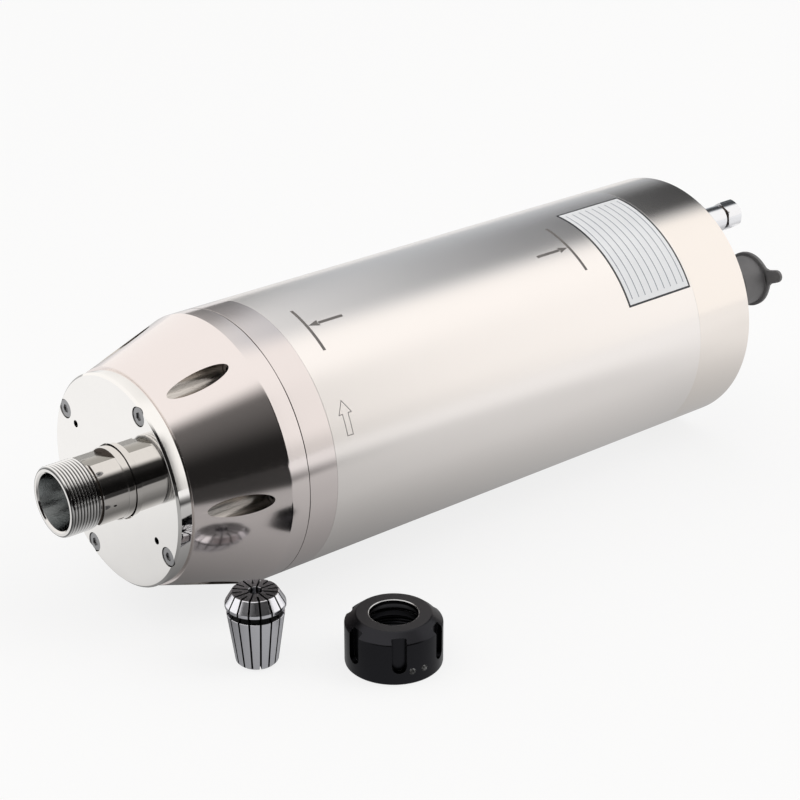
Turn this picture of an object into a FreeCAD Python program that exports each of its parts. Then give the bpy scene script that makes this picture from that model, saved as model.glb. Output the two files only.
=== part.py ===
import FreeCAD, Part
import math
import os
from FreeCAD import Vector

# Water-cooled motor spindle with a 125 mm body and an ER25 tool nose.
# Millimetres. X is the spindle axis and points to the rear, Z points up.
# The origin is on the axis, midway along the zone where a clamp grips the tube.
# Angles round the axis start at -Y and turn towards +Z.

# How far a cutter runs past the face that it opens
cut_past = 1.0

# Housing, outside
body_r = 62.5
clamp_zone_len = 156.0
clamp_zone_to_front_ring = 13.5
tube_len = 226.5
tube_wall = 5.0
front_ring_len = 15.0
front_barrel_wall = 5.5
nose_rim_len = 9.5
nose_taper_len = 41.5
nose_front_wall = 12.0
flange_len = 7.0
flange_step = 1.0
flange_bevel = 1.0
rear_ring_len = 35.5
rear_ring_wall = 5.5
spigot_len = 8.0
seam_bevel = 0.3

# Bearings, two in a set. The race slopes and the shoulder are shares of the ball's radius.
front_outer_r = 37.5
front_section = 15.0
front_width = 16.0
front_ball_r = 4.35
front_ball_count = 12
front_spacer_len = 6.0
front_spacer_wall = 3.5
front_land_step = 4.5
rear_outer_r = 31.0
rear_section = 13.5
rear_width = 14.0
rear_ball_r = 3.9
rear_ball_count = 10
rear_spacer_len = 4.0
rear_spacer_wall = 3.0
shoulder_share = 0.45
slope_start_share = 0.9
slope_end_share = 0.3
ball_gap = 0.06
ball_bands = 4
ball_sides = 8
cage_wall = 1.6
cage_side = 2.2
cage_pocket_gap = 0.15

# Front seal and flange
flange_spigot_len = 8.0
flange_lip_len = 4.0
flange_relief = 1.0
nose_hole_gap = 0.5
labyrinth_seat_step = 3.5
labyrinth_wall = 8.0
labyrinth_len = 8.0
labyrinth_gap = 0.4
labyrinth_groove_depth = 1.2
labyrinth_groove_len = 1.6
labyrinth_grooves = 2
bearing_shoulder_len = 5.0

# Flange screws, puller holes and the recessed screws of the nose
m5_shank_r = 2.5
m5_head_r = 4.25
m5_head_len = 4.7
m5_socket_across = 4.0
m5_socket_depth = 2.6
screw_clearance = 0.25
head_clearance = 0.25
flange_screw_edge = 4.8
flange_screw_count = 4
flange_screw_turn = 61.4
flange_screw_depth = 14.0
counterbore_depth = 5.0
puller_hole_r = 1.65
puller_hole_depth = 6.0
puller_circle_r = 34.5
puller_turn = -28.6
cone_screw_edge = 6.8
cone_screw_count = 6
cone_screw_turn = 1.5
cone_screw_floor = 10.5
cone_screw_grip = 11.0
thread_reserve = 1.0

# Shaft
nose_reach = 31.5
nose_thread_r = 16.0
nose_thread_len = 14.5
nose_thread_bevel = 0.8
thread_depth = 0.8
collet_seat_len = 28.0
taper_deg = 8.0
seat_relief_step = 0.6
seat_relief_len = 14.0
drill_point_deg = 31.0
nose_relief_len = 1.2
nose_relief_depth = 1.1
wrench_flat_len = 13.5
wrench_flat_across = 27.0
wrench_flat_turn = 10.0
collar_r = 16.5
thrust_shoulder_step = 3.0
front_nut_wall = 7.5
front_nut_len = 12.0
rear_nut_wall = 7.0
rear_nut_len = 12.0
lock_nut_slots = 4
lock_nut_slot_w = 5.0
lock_nut_slot_depth = 2.5
rotor_shoulder_step = 1.5
rotor_seat_margin = 2.0
rear_neck_step = 1.0
rear_shoulder_len = 4.0
rear_shoulder_step = 3.0
shaft_tail_len = 1.0

# Motor. Its radii are shares of the body's radius.
stack_margin = 86.5
stack_to_front_nut = 31.5
rotor_seat_share = 0.32
rotor_share = 0.432
slot_bottom_share = 0.64
stator_share = 0.752
air_gap = 0.5
slot_count = 18
slot_w = 4.4
slot_liner = 0.3
winding_inset = 2.5
winding_spread = 3.0
winding_len = 24.0
winding_gap = 1.5
winding_bevel = 4.0
end_ring_inset = 1.0
end_ring_len = 9.0

# Water jacket
channel_count = 10
channel_pitch = 30.0
channel_w = 22.0
channel_depth = 5.0
channel_end_land = 8.0
channel_link_w = 13.0
channel_link_len = 11.0

# Rear end
rear_spigot_len = 12.0
rear_barrel_wall = 3.0
rear_barrel_reach = 32.0
rear_barrel_lip_len = 4.0
rear_lip_step = 3.0
rear_sleeve_wall = 2.5
rear_sleeve_gap = 0.03
rear_web_len = 15.0
clamp_ring_len = 5.0
clamp_ring_gap = 1.0
disc_spring_len = 3.0
disc_spring_plate = 1.2
disc_spring_gap = 0.4
rear_cover_len = 9.5
rear_cover_inset = 0.5
rear_chamber_gap = 2.0
rear_screw_edge = 4.0
rear_screw_count = 6
rear_screw_turn = 51.0
m4_shank_r = 2.0
m4_head_r = 3.5
m4_head_len = 4.0
m4_socket_across = 3.0
m4_socket_depth = 2.0
m4_grip = 8.0

# Seal rings
seal_w = 2.6
seal_depth = 1.8
seal_gap = 0.05
seal_inset = 2.5

# Water fittings
fitting_edge = 9.0
fitting_turns = (66.0, 156.0)
water_bore_r = 3.0
hose_r = 4.05
hose_depth = 13.0
fitting_thread_r = 4.9
fitting_thread_len = 7.0
fitting_hex_across = 13.0
fitting_hex_len = 6.0
fitting_barrel_r = 6.4
fitting_barrel_len = 14.3
fitting_neck_step = 0.6
fitting_neck_len = 1.0
fitting_stub_wall = 0.95
fitting_stub_gap = 0.05
fitting_nut_across = 12.4
fitting_nut_len = 9.9
fitting_nut_end = 2.7
fitting_nut_round = 1.4

# Power connector and its cap
connector_turn = 20.2
connector_flange_side = 30.0
connector_flange_len = 2.5
connector_corner = 3.0
connector_screw_edge = 3.3
m3_shank_r = 1.5
m3_head_r = 2.7
m3_head_len = 2.0
m3_grip = 8.0
m3_socket_across = 2.0
m3_socket_depth = 1.2
insert_r = 8.6
insert_step = 1.0
insert_len = 14.0
insert_inset = 1.0
shell_wall = 1.6
shell_len = 23.0
pin_r = 1.25
pin_circle_r = 4.4
pin_count = 4
pin_reach = 5.0
lead_r = 1.3
lead_count = 3
lead_step = 9.0
lead_outset = 2.9
lead_spacing = 3.0
lead_hole_r = 4.6
cap_gap = 0.08
cap_skirt_wall = 1.12
cap_skirt_len = 14.0
cap_plate_edge = 1.7
cap_plate_len = 3.0
cap_seat_gap = 2.5
cap_tab_reach = 23.2
cap_tab_w = 6.4
cap_tab_len = 2.0

# Collet, standing on its small end
collet_x = -145.1
collet_y = -73.9
collet_turn = -4.0
collet_r = 13.0
collet_len = 34.0
collet_foot_bevel = 1.2
collet_taper_len = 24.2
collet_taper_step = 0.6
collet_groove_depth = 1.6
collet_groove_len = 3.0
collet_rim_len = 1.6
head_deg = 30.0
collet_bore_r = 3.0
collet_grip_len = 20.0
collet_relief_step = 2.0
slit_w = 0.7
slit_pairs = 8
slit_stop = 4.0

# Collet nut, standing on its threaded end
nut_x = -100.0
nut_y = -110.5
nut_turn = -3.0
nut_r = 21.0
nut_len = 23.0
nut_side_len = 19.0
nut_face_r = 16.2
nut_foot_bevel = 1.0
nut_face_gap = 0.5
nut_opening_len = 2.0
nut_cone_len = 4.0
nut_lip_step = 0.9
nut_lip_gap = 0.8
nut_lip_offset = 0.5
wrench_slot_count = 6
wrench_slot_w = 6.4
wrench_slot_depth = 2.6
wrench_slot_base = 5.6
balance_hole_turns = (-107.7, -92.0)
balance_hole_r = 1.5
balance_hole_depth = 2.0
balance_hole_z = 6.0

# Stations along the axis, worked out from the sizes above
tube_x0 = -clamp_zone_len / 2 - clamp_zone_to_front_ring
tube_x1 = tube_x0 + tube_len
front_ring_x0 = tube_x0 - front_ring_len
nose_edge_x = front_ring_x0 - nose_rim_len
nose_x0 = nose_edge_x - nose_taper_len
flange_x0 = nose_x0 - flange_len
rear_x1 = tube_x1 + rear_ring_len
shaft_x0 = flange_x0 - nose_reach
front_stack_x0 = nose_x0 + flange_spigot_len
labyrinth_x0 = flange_x0 + flange_lip_len + nose_hole_gap
front_second_x0 = front_stack_x0 + front_width + front_spacer_len
front_stack_x1 = front_second_x0 + front_width
front_nut_x1 = front_stack_x1 + front_nut_len
stack_x0 = front_nut_x1 + stack_to_front_nut
stack_x1 = stack_x0 + tube_len - stack_margin
jacket_x0 = tube_x0 + spigot_len
jacket_x1 = tube_x1 - rear_spigot_len
web_x1 = tube_x1 + rear_web_len
barrel_x0 = tube_x1 - rear_barrel_reach
spring_x0 = barrel_x0 + rear_barrel_lip_len
sleeve_x0 = spring_x0 + disc_spring_len
rear_stack_x0 = sleeve_x0 + rear_lip_step
rear_second_x0 = rear_stack_x0 + rear_width + rear_spacer_len
rear_stack_x1 = rear_second_x0 + rear_width
rear_nut_x1 = rear_stack_x1 + rear_nut_len
cover_x1 = rear_x1 - rear_cover_inset
cover_x0 = cover_x1 - rear_cover_len
insert_x0 = cover_x0 + insert_inset
plate_x1 = cover_x1 + connector_flange_len
floor_z = -body_r

# Radii that follow from their neighbours
tube_in_r = body_r - tube_wall
seal_floor_r = tube_in_r - seal_depth
front_bore_r = front_outer_r - front_section
front_barrel_r = front_outer_r + front_barrel_wall
front_land_r = front_outer_r - front_land_step
nose_front_r = front_outer_r + nose_front_wall
flange_r = nose_front_r - flange_step
flange_screw_r = flange_r - flange_screw_edge
cone_screw_r = body_r - cone_screw_edge
labyrinth_bore_r = front_bore_r - labyrinth_seat_step
labyrinth_r = labyrinth_bore_r + labyrinth_wall
rotor_seat_r = body_r * rotor_seat_share
rotor_r = body_r * rotor_share
stator_bore_r = rotor_r + air_gap
slot_bottom_r = body_r * slot_bottom_share
stator_r = body_r * stator_share
winding_in_r = stator_bore_r + winding_inset
winding_out_r = slot_bottom_r + winding_spread
front_relief_r = winding_out_r + winding_gap
rear_bore_r = rear_outer_r - rear_section
rear_lip_r = rear_outer_r - rear_lip_step
sleeve_r = rear_outer_r + rear_sleeve_wall
barrel_bore_r = sleeve_r + rear_sleeve_gap
barrel_r = barrel_bore_r + rear_barrel_wall
rear_nut_r = rear_bore_r + rear_nut_wall
rear_cover_r = body_r - rear_ring_wall
rear_screw_r = rear_cover_r - rear_screw_edge
fitting_circle_r = rear_cover_r - fitting_edge
fitting_stub_r = hose_r + fitting_stub_wall
shell_bore_r = insert_r + insert_step
shell_r = shell_bore_r + shell_wall
lead_circle_r = rear_outer_r + lead_step
rear_chamber_r = lead_circle_r + rear_chamber_gap
connector_circle_r = lead_circle_r - lead_outset
collet_seat_r = collet_r
collet_groove_z0 = collet_taper_len
collet_groove_z1 = collet_groove_z0 + collet_groove_len
collet_rim_z1 = collet_groove_z1 + collet_rim_len
collet_face_r = collet_r - (collet_len - collet_rim_z1) * math.tan(math.radians(head_deg))
nut_opening_r = collet_face_r + nut_face_gap
nut_thread_r = nose_thread_r - thread_depth

AXIS = Vector(1, 0, 0)
ORIGIN = Vector(0, 0, 0)
UP = Vector(0, 0, 1)


def polar(radius, turn, x=0.0):
    """Point at a radius and angle round the spindle axis."""
    a = math.radians(turn)
    return Vector(x, -radius * math.cos(a), radius * math.sin(a))


def turned(profile, axis=AXIS):
    """Solid of revolution of (along, radius) corners about X, or about Z."""
    if axis == AXIS:
        corners = [Vector(a, 0, r) for a, r in profile]
    else:
        corners = [Vector(r, 0, a) for a, r in profile]
    face = Part.Face(Part.makePolygon(corners + corners[:1]))
    return face.revolve(ORIGIN, axis, 360)


def ring(r_in, r_out, x0, x1):
    return turned([(x0, r_in), (x0, r_out), (x1, r_out), (x1, r_in)])


def rod(radius, x0, x1, at=ORIGIN):
    return Part.makeCylinder(radius, x1 - x0, Vector(x0, at.y, at.z), AXIS)


def hexagon(across, x0, x1, at=ORIGIN):
    """Hexagonal bar along X, given its size across flats."""
    corner = across / math.sqrt(3)
    points = [polar(corner, 60 * i, x0) + Vector(0, at.y, at.z) for i in range(7)]
    return Part.Face(Part.makePolygon(points)).extrude(Vector(x1 - x0, 0, 0))


def round_axis(shape, turn):
    """Copy of a shape built towards -Y, turned round the spindle axis."""
    copy = shape.copy()
    copy.rotate(ORIGIN, AXIS, -turn)
    return copy


def around(shape, count, turn=0.0):
    return [round_axis(shape, turn + 360.0 * i / count) for i in range(count)]


def moved(shape, by):
    copy = shape.copy()
    copy.translate(by)
    return copy


def group(shapes):
    return Part.makeCompound(shapes)


def cap_screw(x_head, head_r, head_len, shank_r, grip, across, depth, rear=False):
    """Socket screw along X. Its head face is at x_head, and it points +X, or -X at the rear."""
    screw = rod(head_r, 0, head_len).fuse(rod(shank_r, head_len, head_len + grip))
    screw = screw.cut(hexagon(across, -cut_past, depth)).removeSplitter()
    if rear:
        screw.rotate(ORIGIN, UP, 180)
    return moved(screw, Vector(x_head, 0, 0))


# Housing

def housing_tube():
    return ring(tube_in_r, body_r, tube_x0, tube_x1)


def front_ring():
    """Ring between nose and tube. Its bore is relieved round the end turns."""
    spigot_x1 = front_ring_x0 + bearing_shoulder_len
    solid = turned([
        (front_ring_x0, front_barrel_r),
        (front_ring_x0, body_r - seam_bevel),
        (front_ring_x0 + seam_bevel, body_r),
        (tube_x0 - seam_bevel, body_r),
        (tube_x0, body_r - seam_bevel),
        (tube_x0, tube_in_r),
        (jacket_x0, tube_in_r),
        (jacket_x0, front_relief_r),
        (spigot_x1, front_relief_r),
        (spigot_x1, front_barrel_r),
    ])
    hole_x1 = front_ring_x0 + cone_screw_grip + thread_reserve
    hole = rod(m5_shank_r, front_ring_x0, hole_x1, polar(cone_screw_r, 0))
    return solid.cut(around(hole, cone_screw_count, cone_screw_turn) + [seal_groove(tube_x0 + seal_inset)])


def seal_groove(x):
    return ring(seal_floor_r, tube_in_r + cut_past, x, x + seal_w)


def nose_cone():
    """Front bearing housing. Its six screw recesses break out through the taper."""
    spigot_x1 = front_ring_x0 + bearing_shoulder_len
    solid = turned([
        (nose_x0, front_outer_r),
        (nose_x0, nose_front_r),
        (nose_edge_x, body_r),
        (front_ring_x0 - seam_bevel, body_r),
        (front_ring_x0, body_r - seam_bevel),
        (front_ring_x0, front_barrel_r),
        (spigot_x1, front_barrel_r),
        (spigot_x1, front_land_r),
        (front_stack_x1, front_land_r),
        (front_stack_x1, front_outer_r),
    ])
    floor_x = front_ring_x0 - cone_screw_floor
    seat = polar(cone_screw_r, 0)
    recess = rod(m5_head_r + head_clearance, nose_x0 - cut_past, floor_x, seat)
    through = rod(m5_shank_r + screw_clearance, floor_x - cut_past, front_ring_x0 + cut_past, seat)
    tapped = rod(m5_shank_r, nose_x0, nose_x0 + flange_screw_depth, polar(flange_screw_r, 0))
    cuts = around(recess, cone_screw_count, cone_screw_turn)
    cuts += around(through, cone_screw_count, cone_screw_turn)
    cuts += around(tapped, flange_screw_count, flange_screw_turn)
    return solid.cut(cuts)


def nose_flange():
    """Bearing cover. Its spigot clamps the outer rings and hides the labyrinth."""
    recess_r = labyrinth_r + labyrinth_gap
    spigot_x1 = front_stack_x0
    solid = turned([
        (flange_x0, collar_r + nose_hole_gap),
        (flange_x0, flange_r - flange_bevel),
        (flange_x0 + flange_bevel, flange_r),
        (nose_x0, flange_r),
        (nose_x0, front_outer_r),
        (spigot_x1, front_outer_r),
        (spigot_x1, front_land_r),
        (spigot_x1 - flange_relief, front_land_r),
        (spigot_x1 - flange_relief, recess_r),
        (flange_x0 + flange_lip_len, recess_r),
        (flange_x0 + flange_lip_len, collar_r + nose_hole_gap),
    ])
    start_x = flange_x0 - cut_past
    seat = polar(flange_screw_r, 0)
    through = rod(m5_shank_r + screw_clearance, start_x, nose_x0 + cut_past, seat)
    counterbore = rod(m5_head_r + head_clearance, start_x, flange_x0 + counterbore_depth, seat)
    puller = rod(puller_hole_r, start_x, flange_x0 + puller_hole_depth, polar(puller_circle_r, 0))
    cuts = around(through, flange_screw_count, flange_screw_turn)
    cuts += around(counterbore, flange_screw_count, flange_screw_turn)
    cuts += around(puller, 2, puller_turn)
    return solid.cut(cuts)


def flange_screws():
    head_x = flange_x0 + counterbore_depth - m5_head_len
    grip = flange_len - counterbore_depth + flange_screw_depth - thread_reserve
    screw = cap_screw(head_x, m5_head_r, m5_head_len, m5_shank_r, grip,
                      m5_socket_across, m5_socket_depth)
    screw = moved(screw, polar(flange_screw_r, 0))
    return group(around(screw, flange_screw_count, flange_screw_turn))


def cone_screws():
    head_x = front_ring_x0 - cone_screw_floor - m5_head_len
    grip = cone_screw_floor + cone_screw_grip
    screw = cap_screw(head_x, m5_head_r, m5_head_len, m5_shank_r, grip,
                      m5_socket_across, m5_socket_depth)
    screw = moved(screw, polar(cone_screw_r, 0))
    return group(around(screw, cone_screw_count, cone_screw_turn))


def rear_housing():
    """Rear end bell: ring, web, bearing barrel, wire way and two slanted water drillings."""
    spigot_x0 = tube_x1 - rear_spigot_len
    solid = turned([
        (barrel_x0, rear_lip_r),
        (barrel_x0, barrel_r),
        (spigot_x0, barrel_r),
        (spigot_x0, tube_in_r),
        (tube_x1, tube_in_r),
        (tube_x1, body_r - seam_bevel),
        (tube_x1 + seam_bevel, body_r),
        (rear_x1 - seam_bevel, body_r),
        (rear_x1, body_r - seam_bevel),
        (rear_x1, rear_cover_r),
        (cover_x0, rear_cover_r),
        (cover_x0, rear_chamber_r),
        (web_x1, rear_chamber_r),
        (web_x1, barrel_bore_r),
        (spring_x0, barrel_bore_r),
        (spring_x0, rear_lip_r),
    ])
    wire_seat = polar(lead_circle_r, connector_turn)
    wire_way = rod(lead_hole_r, spigot_x0 - cut_past, web_x1 + cut_past, wire_seat)
    tapped = rod(m4_shank_r, cover_x0 - m4_grip, cover_x0, polar(rear_screw_r, 0))
    cuts = [water_drilling(turn) for turn in fitting_turns]
    cuts += [wire_way, seal_groove(tube_x1 - seal_inset - seal_w)]
    cuts += around(tapped, rear_screw_count, rear_screw_turn)
    return solid.cut(cuts)


def water_drilling(turn):
    """Slanted bore from the fitting's seat to the channels of the jacket."""
    start = polar(fitting_circle_r, turn, cover_x0)
    end = polar(tube_in_r - channel_depth + water_bore_r / 2, turn, jacket_x1)
    way = end - start
    unit = Vector(way).normalize()
    return Part.makeCylinder(water_bore_r, way.Length + 2 * cut_past, start - unit * cut_past, unit)


def rear_cover():
    """Disc behind the web, with seats for the fittings, the connector and its own screws."""
    solid = turned([(cover_x0, 0), (cover_x0, rear_cover_r), (cover_x1, rear_cover_r), (cover_x1, 0)])
    x0 = cover_x0 - cut_past
    x1 = cover_x1 + cut_past
    cuts = [rod(insert_r, x0, x1, polar(connector_circle_r, connector_turn))]
    for turn in fitting_turns:
        cuts.append(rod(fitting_thread_r, cover_x1 - fitting_thread_len, x1, polar(fitting_circle_r, turn)))
        cuts.append(rod(water_bore_r, x0, cover_x1, polar(fitting_circle_r, turn)))
    for seat in connector_screw_seats():
        cuts.append(rod(m3_shank_r, cover_x1 - m3_grip, x1, seat))
    screw_seat = polar(rear_screw_r, 0)
    through = rod(m4_shank_r + screw_clearance, x0, x1, screw_seat)
    head_seat = rod(m4_head_r + head_clearance, cover_x1 - m4_head_len, x1, screw_seat)
    cuts += around(through, rear_screw_count, rear_screw_turn)
    cuts += around(head_seat, rear_screw_count, rear_screw_turn)
    return solid.cut(cuts)


def rear_cover_screws():
    grip = rear_cover_len - m4_head_len + m4_grip - thread_reserve
    screw = cap_screw(cover_x1, m4_head_r, m4_head_len, m4_shank_r, grip,
                      m4_socket_across, m4_socket_depth, rear=True)
    screw = moved(screw, polar(rear_screw_r, 0))
    return group(around(screw, rear_screw_count, rear_screw_turn))


def seal_rings():
    """The two rubber rings that close the jacket at its ends."""
    r_in = seal_floor_r + seal_gap
    front_x = tube_x0 + seal_inset + seal_gap
    rear_x = tube_x1 - seal_inset - seal_w + seal_gap
    width = seal_w - 2 * seal_gap
    return group([
        ring(r_in, tube_in_r, front_x, front_x + width),
        ring(r_in, tube_in_r, rear_x, rear_x + width),
    ])


def water_jacket():
    """Sleeve with axial channels, joined end to end in turn so the water runs back and forth."""
    solid = ring(stator_r, tube_in_r, jacket_x0, jacket_x1)
    channel_x0 = jacket_x0 + channel_end_land
    channel_x1 = jacket_x1 - channel_end_land
    channel = jacket_cutter(channel_x0, channel_x1, channel_w)
    link = jacket_cutter(0, channel_link_len, channel_link_w)
    inlet = jacket_cutter(channel_x1 - cut_past, jacket_x1 + cut_past, 2 * water_bore_r)
    cuts = [round_axis(inlet, turn) for turn in fitting_turns]
    for i in range(channel_count):
        turn = fitting_turns[0] - channel_pitch * i
        cuts.append(round_axis(channel, turn))
        if i + 1 < channel_count:
            x = channel_x0 if i % 2 == 0 else channel_x1 - channel_link_len
            cuts.append(round_axis(moved(link, Vector(x, 0, 0)), turn - channel_pitch / 2))
    return solid.cut(cuts)


def jacket_cutter(x0, x1, width):
    """Block that cuts to the floor of the channels, on the -Y side."""
    tall = channel_depth + cut_past
    return Part.makeBox(x1 - x0, tall, width, Vector(x0, -tube_in_r - cut_past, -width / 2))


# Motor

def stator_slot(width, r0, r1, x0, x1):
    return Part.makeBox(x1 - x0, r1 - r0, width, Vector(x0, -r1, -width / 2))


def stator_core():
    solid = ring(stator_bore_r, stator_r, stack_x0, stack_x1)
    slot = stator_slot(slot_w, rotor_r, slot_bottom_r, stack_x0 - cut_past, stack_x1 + cut_past)
    return solid.cut(around(slot, slot_count))


def winding_overhang(x_stack, x_end):
    side = winding_bevel if x_end > x_stack else -winding_bevel
    return turned([
        (x_stack, winding_in_r),
        (x_stack, winding_out_r),
        (x_end - side, winding_out_r),
        (x_end, winding_out_r - winding_bevel),
        (x_end, winding_in_r + winding_bevel),
        (x_end - side, winding_in_r),
    ])


def stator_windings():
    """Coil sides inside the slots' liners, joined by the potted end turns."""
    side = stator_slot(slot_w - 2 * slot_liner, winding_in_r + slot_liner, slot_bottom_r - slot_liner,
                       stack_x0 - cut_past, stack_x1 + cut_past)
    ends = [winding_overhang(stack_x0, stack_x0 - winding_len),
            winding_overhang(stack_x1, stack_x1 + winding_len)]
    return ends[0].fuse(around(side, slot_count) + ends[1:])


def motor_leads():
    """Phase wires from the end turns to the back of the connector."""
    x0 = stack_x1 + winding_len
    leads = []
    for i in range(lead_count):
        seat = Vector(0, -lead_circle_r, (i - (lead_count - 1) / 2) * lead_spacing)
        leads.append(round_axis(rod(lead_r, x0 - winding_bevel, insert_x0, seat), connector_turn))
    return group(leads).cut(winding_overhang(stack_x1, x0))


def rotor_core():
    return ring(rotor_seat_r, rotor_r, stack_x0, stack_x1)


def rotor_end_rings():
    r_in = rotor_seat_r + end_ring_inset
    r_out = rotor_r - end_ring_inset
    return group([
        ring(r_in, r_out, stack_x0 - end_ring_len, stack_x0),
        ring(r_in, r_out, stack_x1, stack_x1 + end_ring_len),
    ])


# Bearings

def pitch_r(bore_r, outer_r):
    return (bore_r + outer_r) / 2


def outer_ring(bore_r, outer_r, width, ball_r, x0, shoulder_front):
    """Angular-contact outer ring: one full shoulder, the other side relieved."""
    pitch = pitch_r(bore_r, outer_r)
    race_r = pitch + ball_r + ball_gap
    land_r = pitch + ball_r * shoulder_share
    mid = width / 2
    profile = [
        (0, land_r),
        (mid - ball_r * slope_start_share, land_r),
        (mid - ball_r * slope_end_share, race_r),
        (width, race_r),
        (width, outer_r),
        (0, outer_r),
    ]
    return bearing_side(profile, width, x0, shoulder_front)


def inner_ring(bore_r, outer_r, width, ball_r, x0, shoulder_front):
    pitch = pitch_r(bore_r, outer_r)
    race_r = pitch - ball_r - ball_gap
    land_r = pitch - ball_r * shoulder_share
    mid = width / 2
    profile = [
        (0, land_r),
        (mid - ball_r * slope_start_share, land_r),
        (mid - ball_r * slope_end_share, race_r),
        (width, race_r),
        (width, bore_r),
        (0, bore_r),
    ]
    return bearing_side(profile, width, x0, shoulder_front)


def bearing_side(profile, width, x0, shoulder_front):
    """Put the full shoulder at the front or at the rear of the ring."""
    if shoulder_front:
        return turned([(x0 + a, r) for a, r in profile])
    return turned([(x0 + width - a, r) for a, r in profile])


def flat_face(corners):
    return Part.Face(Part.makePolygon(corners + corners[:1]))


def ball(radius, at):
    """Ball in a few flat faces, with its corners on the true sphere."""
    step = math.pi / ball_bands
    rows = []
    for band in range(ball_bands):
        latitude = (band + 0.5) * step - math.pi / 2
        r = radius * math.cos(latitude)
        z = radius * math.sin(latitude)
        turns = [2 * math.pi * i / ball_sides for i in range(ball_sides)]
        rows.append([at + Vector(r * math.cos(t), r * math.sin(t), z) for t in turns])
    faces = [flat_face(rows[0]), flat_face(rows[-1])]
    for low, high in zip(rows, rows[1:]):
        for i in range(ball_sides):
            faces.append(flat_face([low[i - 1], low[i], high[i], high[i - 1]]))
    shell = Part.makeShell(faces)
    shell.sewShape()
    return Part.Solid(shell)


def ball_row(bore_r, outer_r, width, ball_r, count, x0):
    pitch = pitch_r(bore_r, outer_r)
    return around(ball(ball_r, polar(pitch, 0, x0 + width / 2)), count)


def cage(bore_r, outer_r, width, ball_r, count, x0):
    """Ring between the races with a window for each ball."""
    pitch = pitch_r(bore_r, outer_r)
    mid = x0 + width / 2
    half = ball_r + cage_side
    solid = ring(pitch - cage_wall / 2, pitch + cage_wall / 2, mid - half, mid + half)
    window = 2 * (ball_r + cage_pocket_gap)
    pocket = Part.makeBox(window, 2 * cage_wall, window,
                          Vector(mid - window / 2, -pitch - cage_wall, -window / 2))
    return solid.cut(around(pocket, count))


front_size = (front_bore_r, front_outer_r, front_width, front_ball_r)
rear_size = (rear_bore_r, rear_outer_r, rear_width, rear_ball_r)


def front_outer_rings():
    return group([outer_ring(*front_size, front_stack_x0, False),
                  outer_ring(*front_size, front_second_x0, True)])


def front_inner_rings():
    return group([inner_ring(*front_size, front_stack_x0, True),
                  inner_ring(*front_size, front_second_x0, False)])


def front_balls():
    return group(ball_row(*front_size, front_ball_count, front_stack_x0)
                 + ball_row(*front_size, front_ball_count, front_second_x0))


def front_cages():
    return group([cage(*front_size, front_ball_count, front_stack_x0),
                  cage(*front_size, front_ball_count, front_second_x0)])


def front_outer_spacer():
    x0 = front_stack_x0 + front_width
    return ring(front_outer_r - front_spacer_wall, front_outer_r, x0, front_second_x0)


def front_inner_spacer():
    x0 = front_stack_x0 + front_width
    return ring(front_bore_r, front_bore_r + front_spacer_wall, x0, front_second_x0)


def rear_outer_rings():
    return group([outer_ring(*rear_size, rear_stack_x0, False),
                  outer_ring(*rear_size, rear_second_x0, True)])


def rear_inner_rings():
    return group([inner_ring(*rear_size, rear_stack_x0, True),
                  inner_ring(*rear_size, rear_second_x0, False)])


def rear_balls():
    return group(ball_row(*rear_size, rear_ball_count, rear_stack_x0)
                 + ball_row(*rear_size, rear_ball_count, rear_second_x0))


def rear_cages():
    return group([cage(*rear_size, rear_ball_count, rear_stack_x0),
                  cage(*rear_size, rear_ball_count, rear_second_x0)])


def rear_outer_spacer():
    x0 = rear_stack_x0 + rear_width
    return ring(rear_outer_r - rear_spacer_wall, rear_outer_r, x0, rear_second_x0)


def rear_inner_spacer():
    x0 = rear_stack_x0 + rear_width
    return ring(rear_bore_r, rear_bore_r + rear_spacer_wall, x0, rear_second_x0)


def rear_bearing_sleeve():
    """Sleeve that slides in the barrel and carries the rear bearings."""
    sleeve_x1 = rear_stack_x1 + clamp_ring_len
    return turned([
        (sleeve_x0, rear_lip_r),
        (sleeve_x0, sleeve_r),
        (sleeve_x1, sleeve_r),
        (sleeve_x1, rear_outer_r),
        (rear_stack_x0, rear_outer_r),
        (rear_stack_x0, rear_lip_r),
    ])


def rear_clamp_ring():
    return ring(rear_nut_r + clamp_ring_gap, rear_outer_r, rear_stack_x1, rear_stack_x1 + clamp_ring_len)


def preload_disc_spring():
    """Coned spring washer that pushes the rear bearings away from the front ones."""
    r_in = rear_lip_r + disc_spring_gap
    r_out = sleeve_r - disc_spring_gap
    return turned([
        (spring_x0, r_out),
        (spring_x0 + disc_spring_plate, r_out),
        (sleeve_x0, r_in),
        (sleeve_x0 - disc_spring_plate, r_in),
    ])


# Rotating parts

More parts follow.
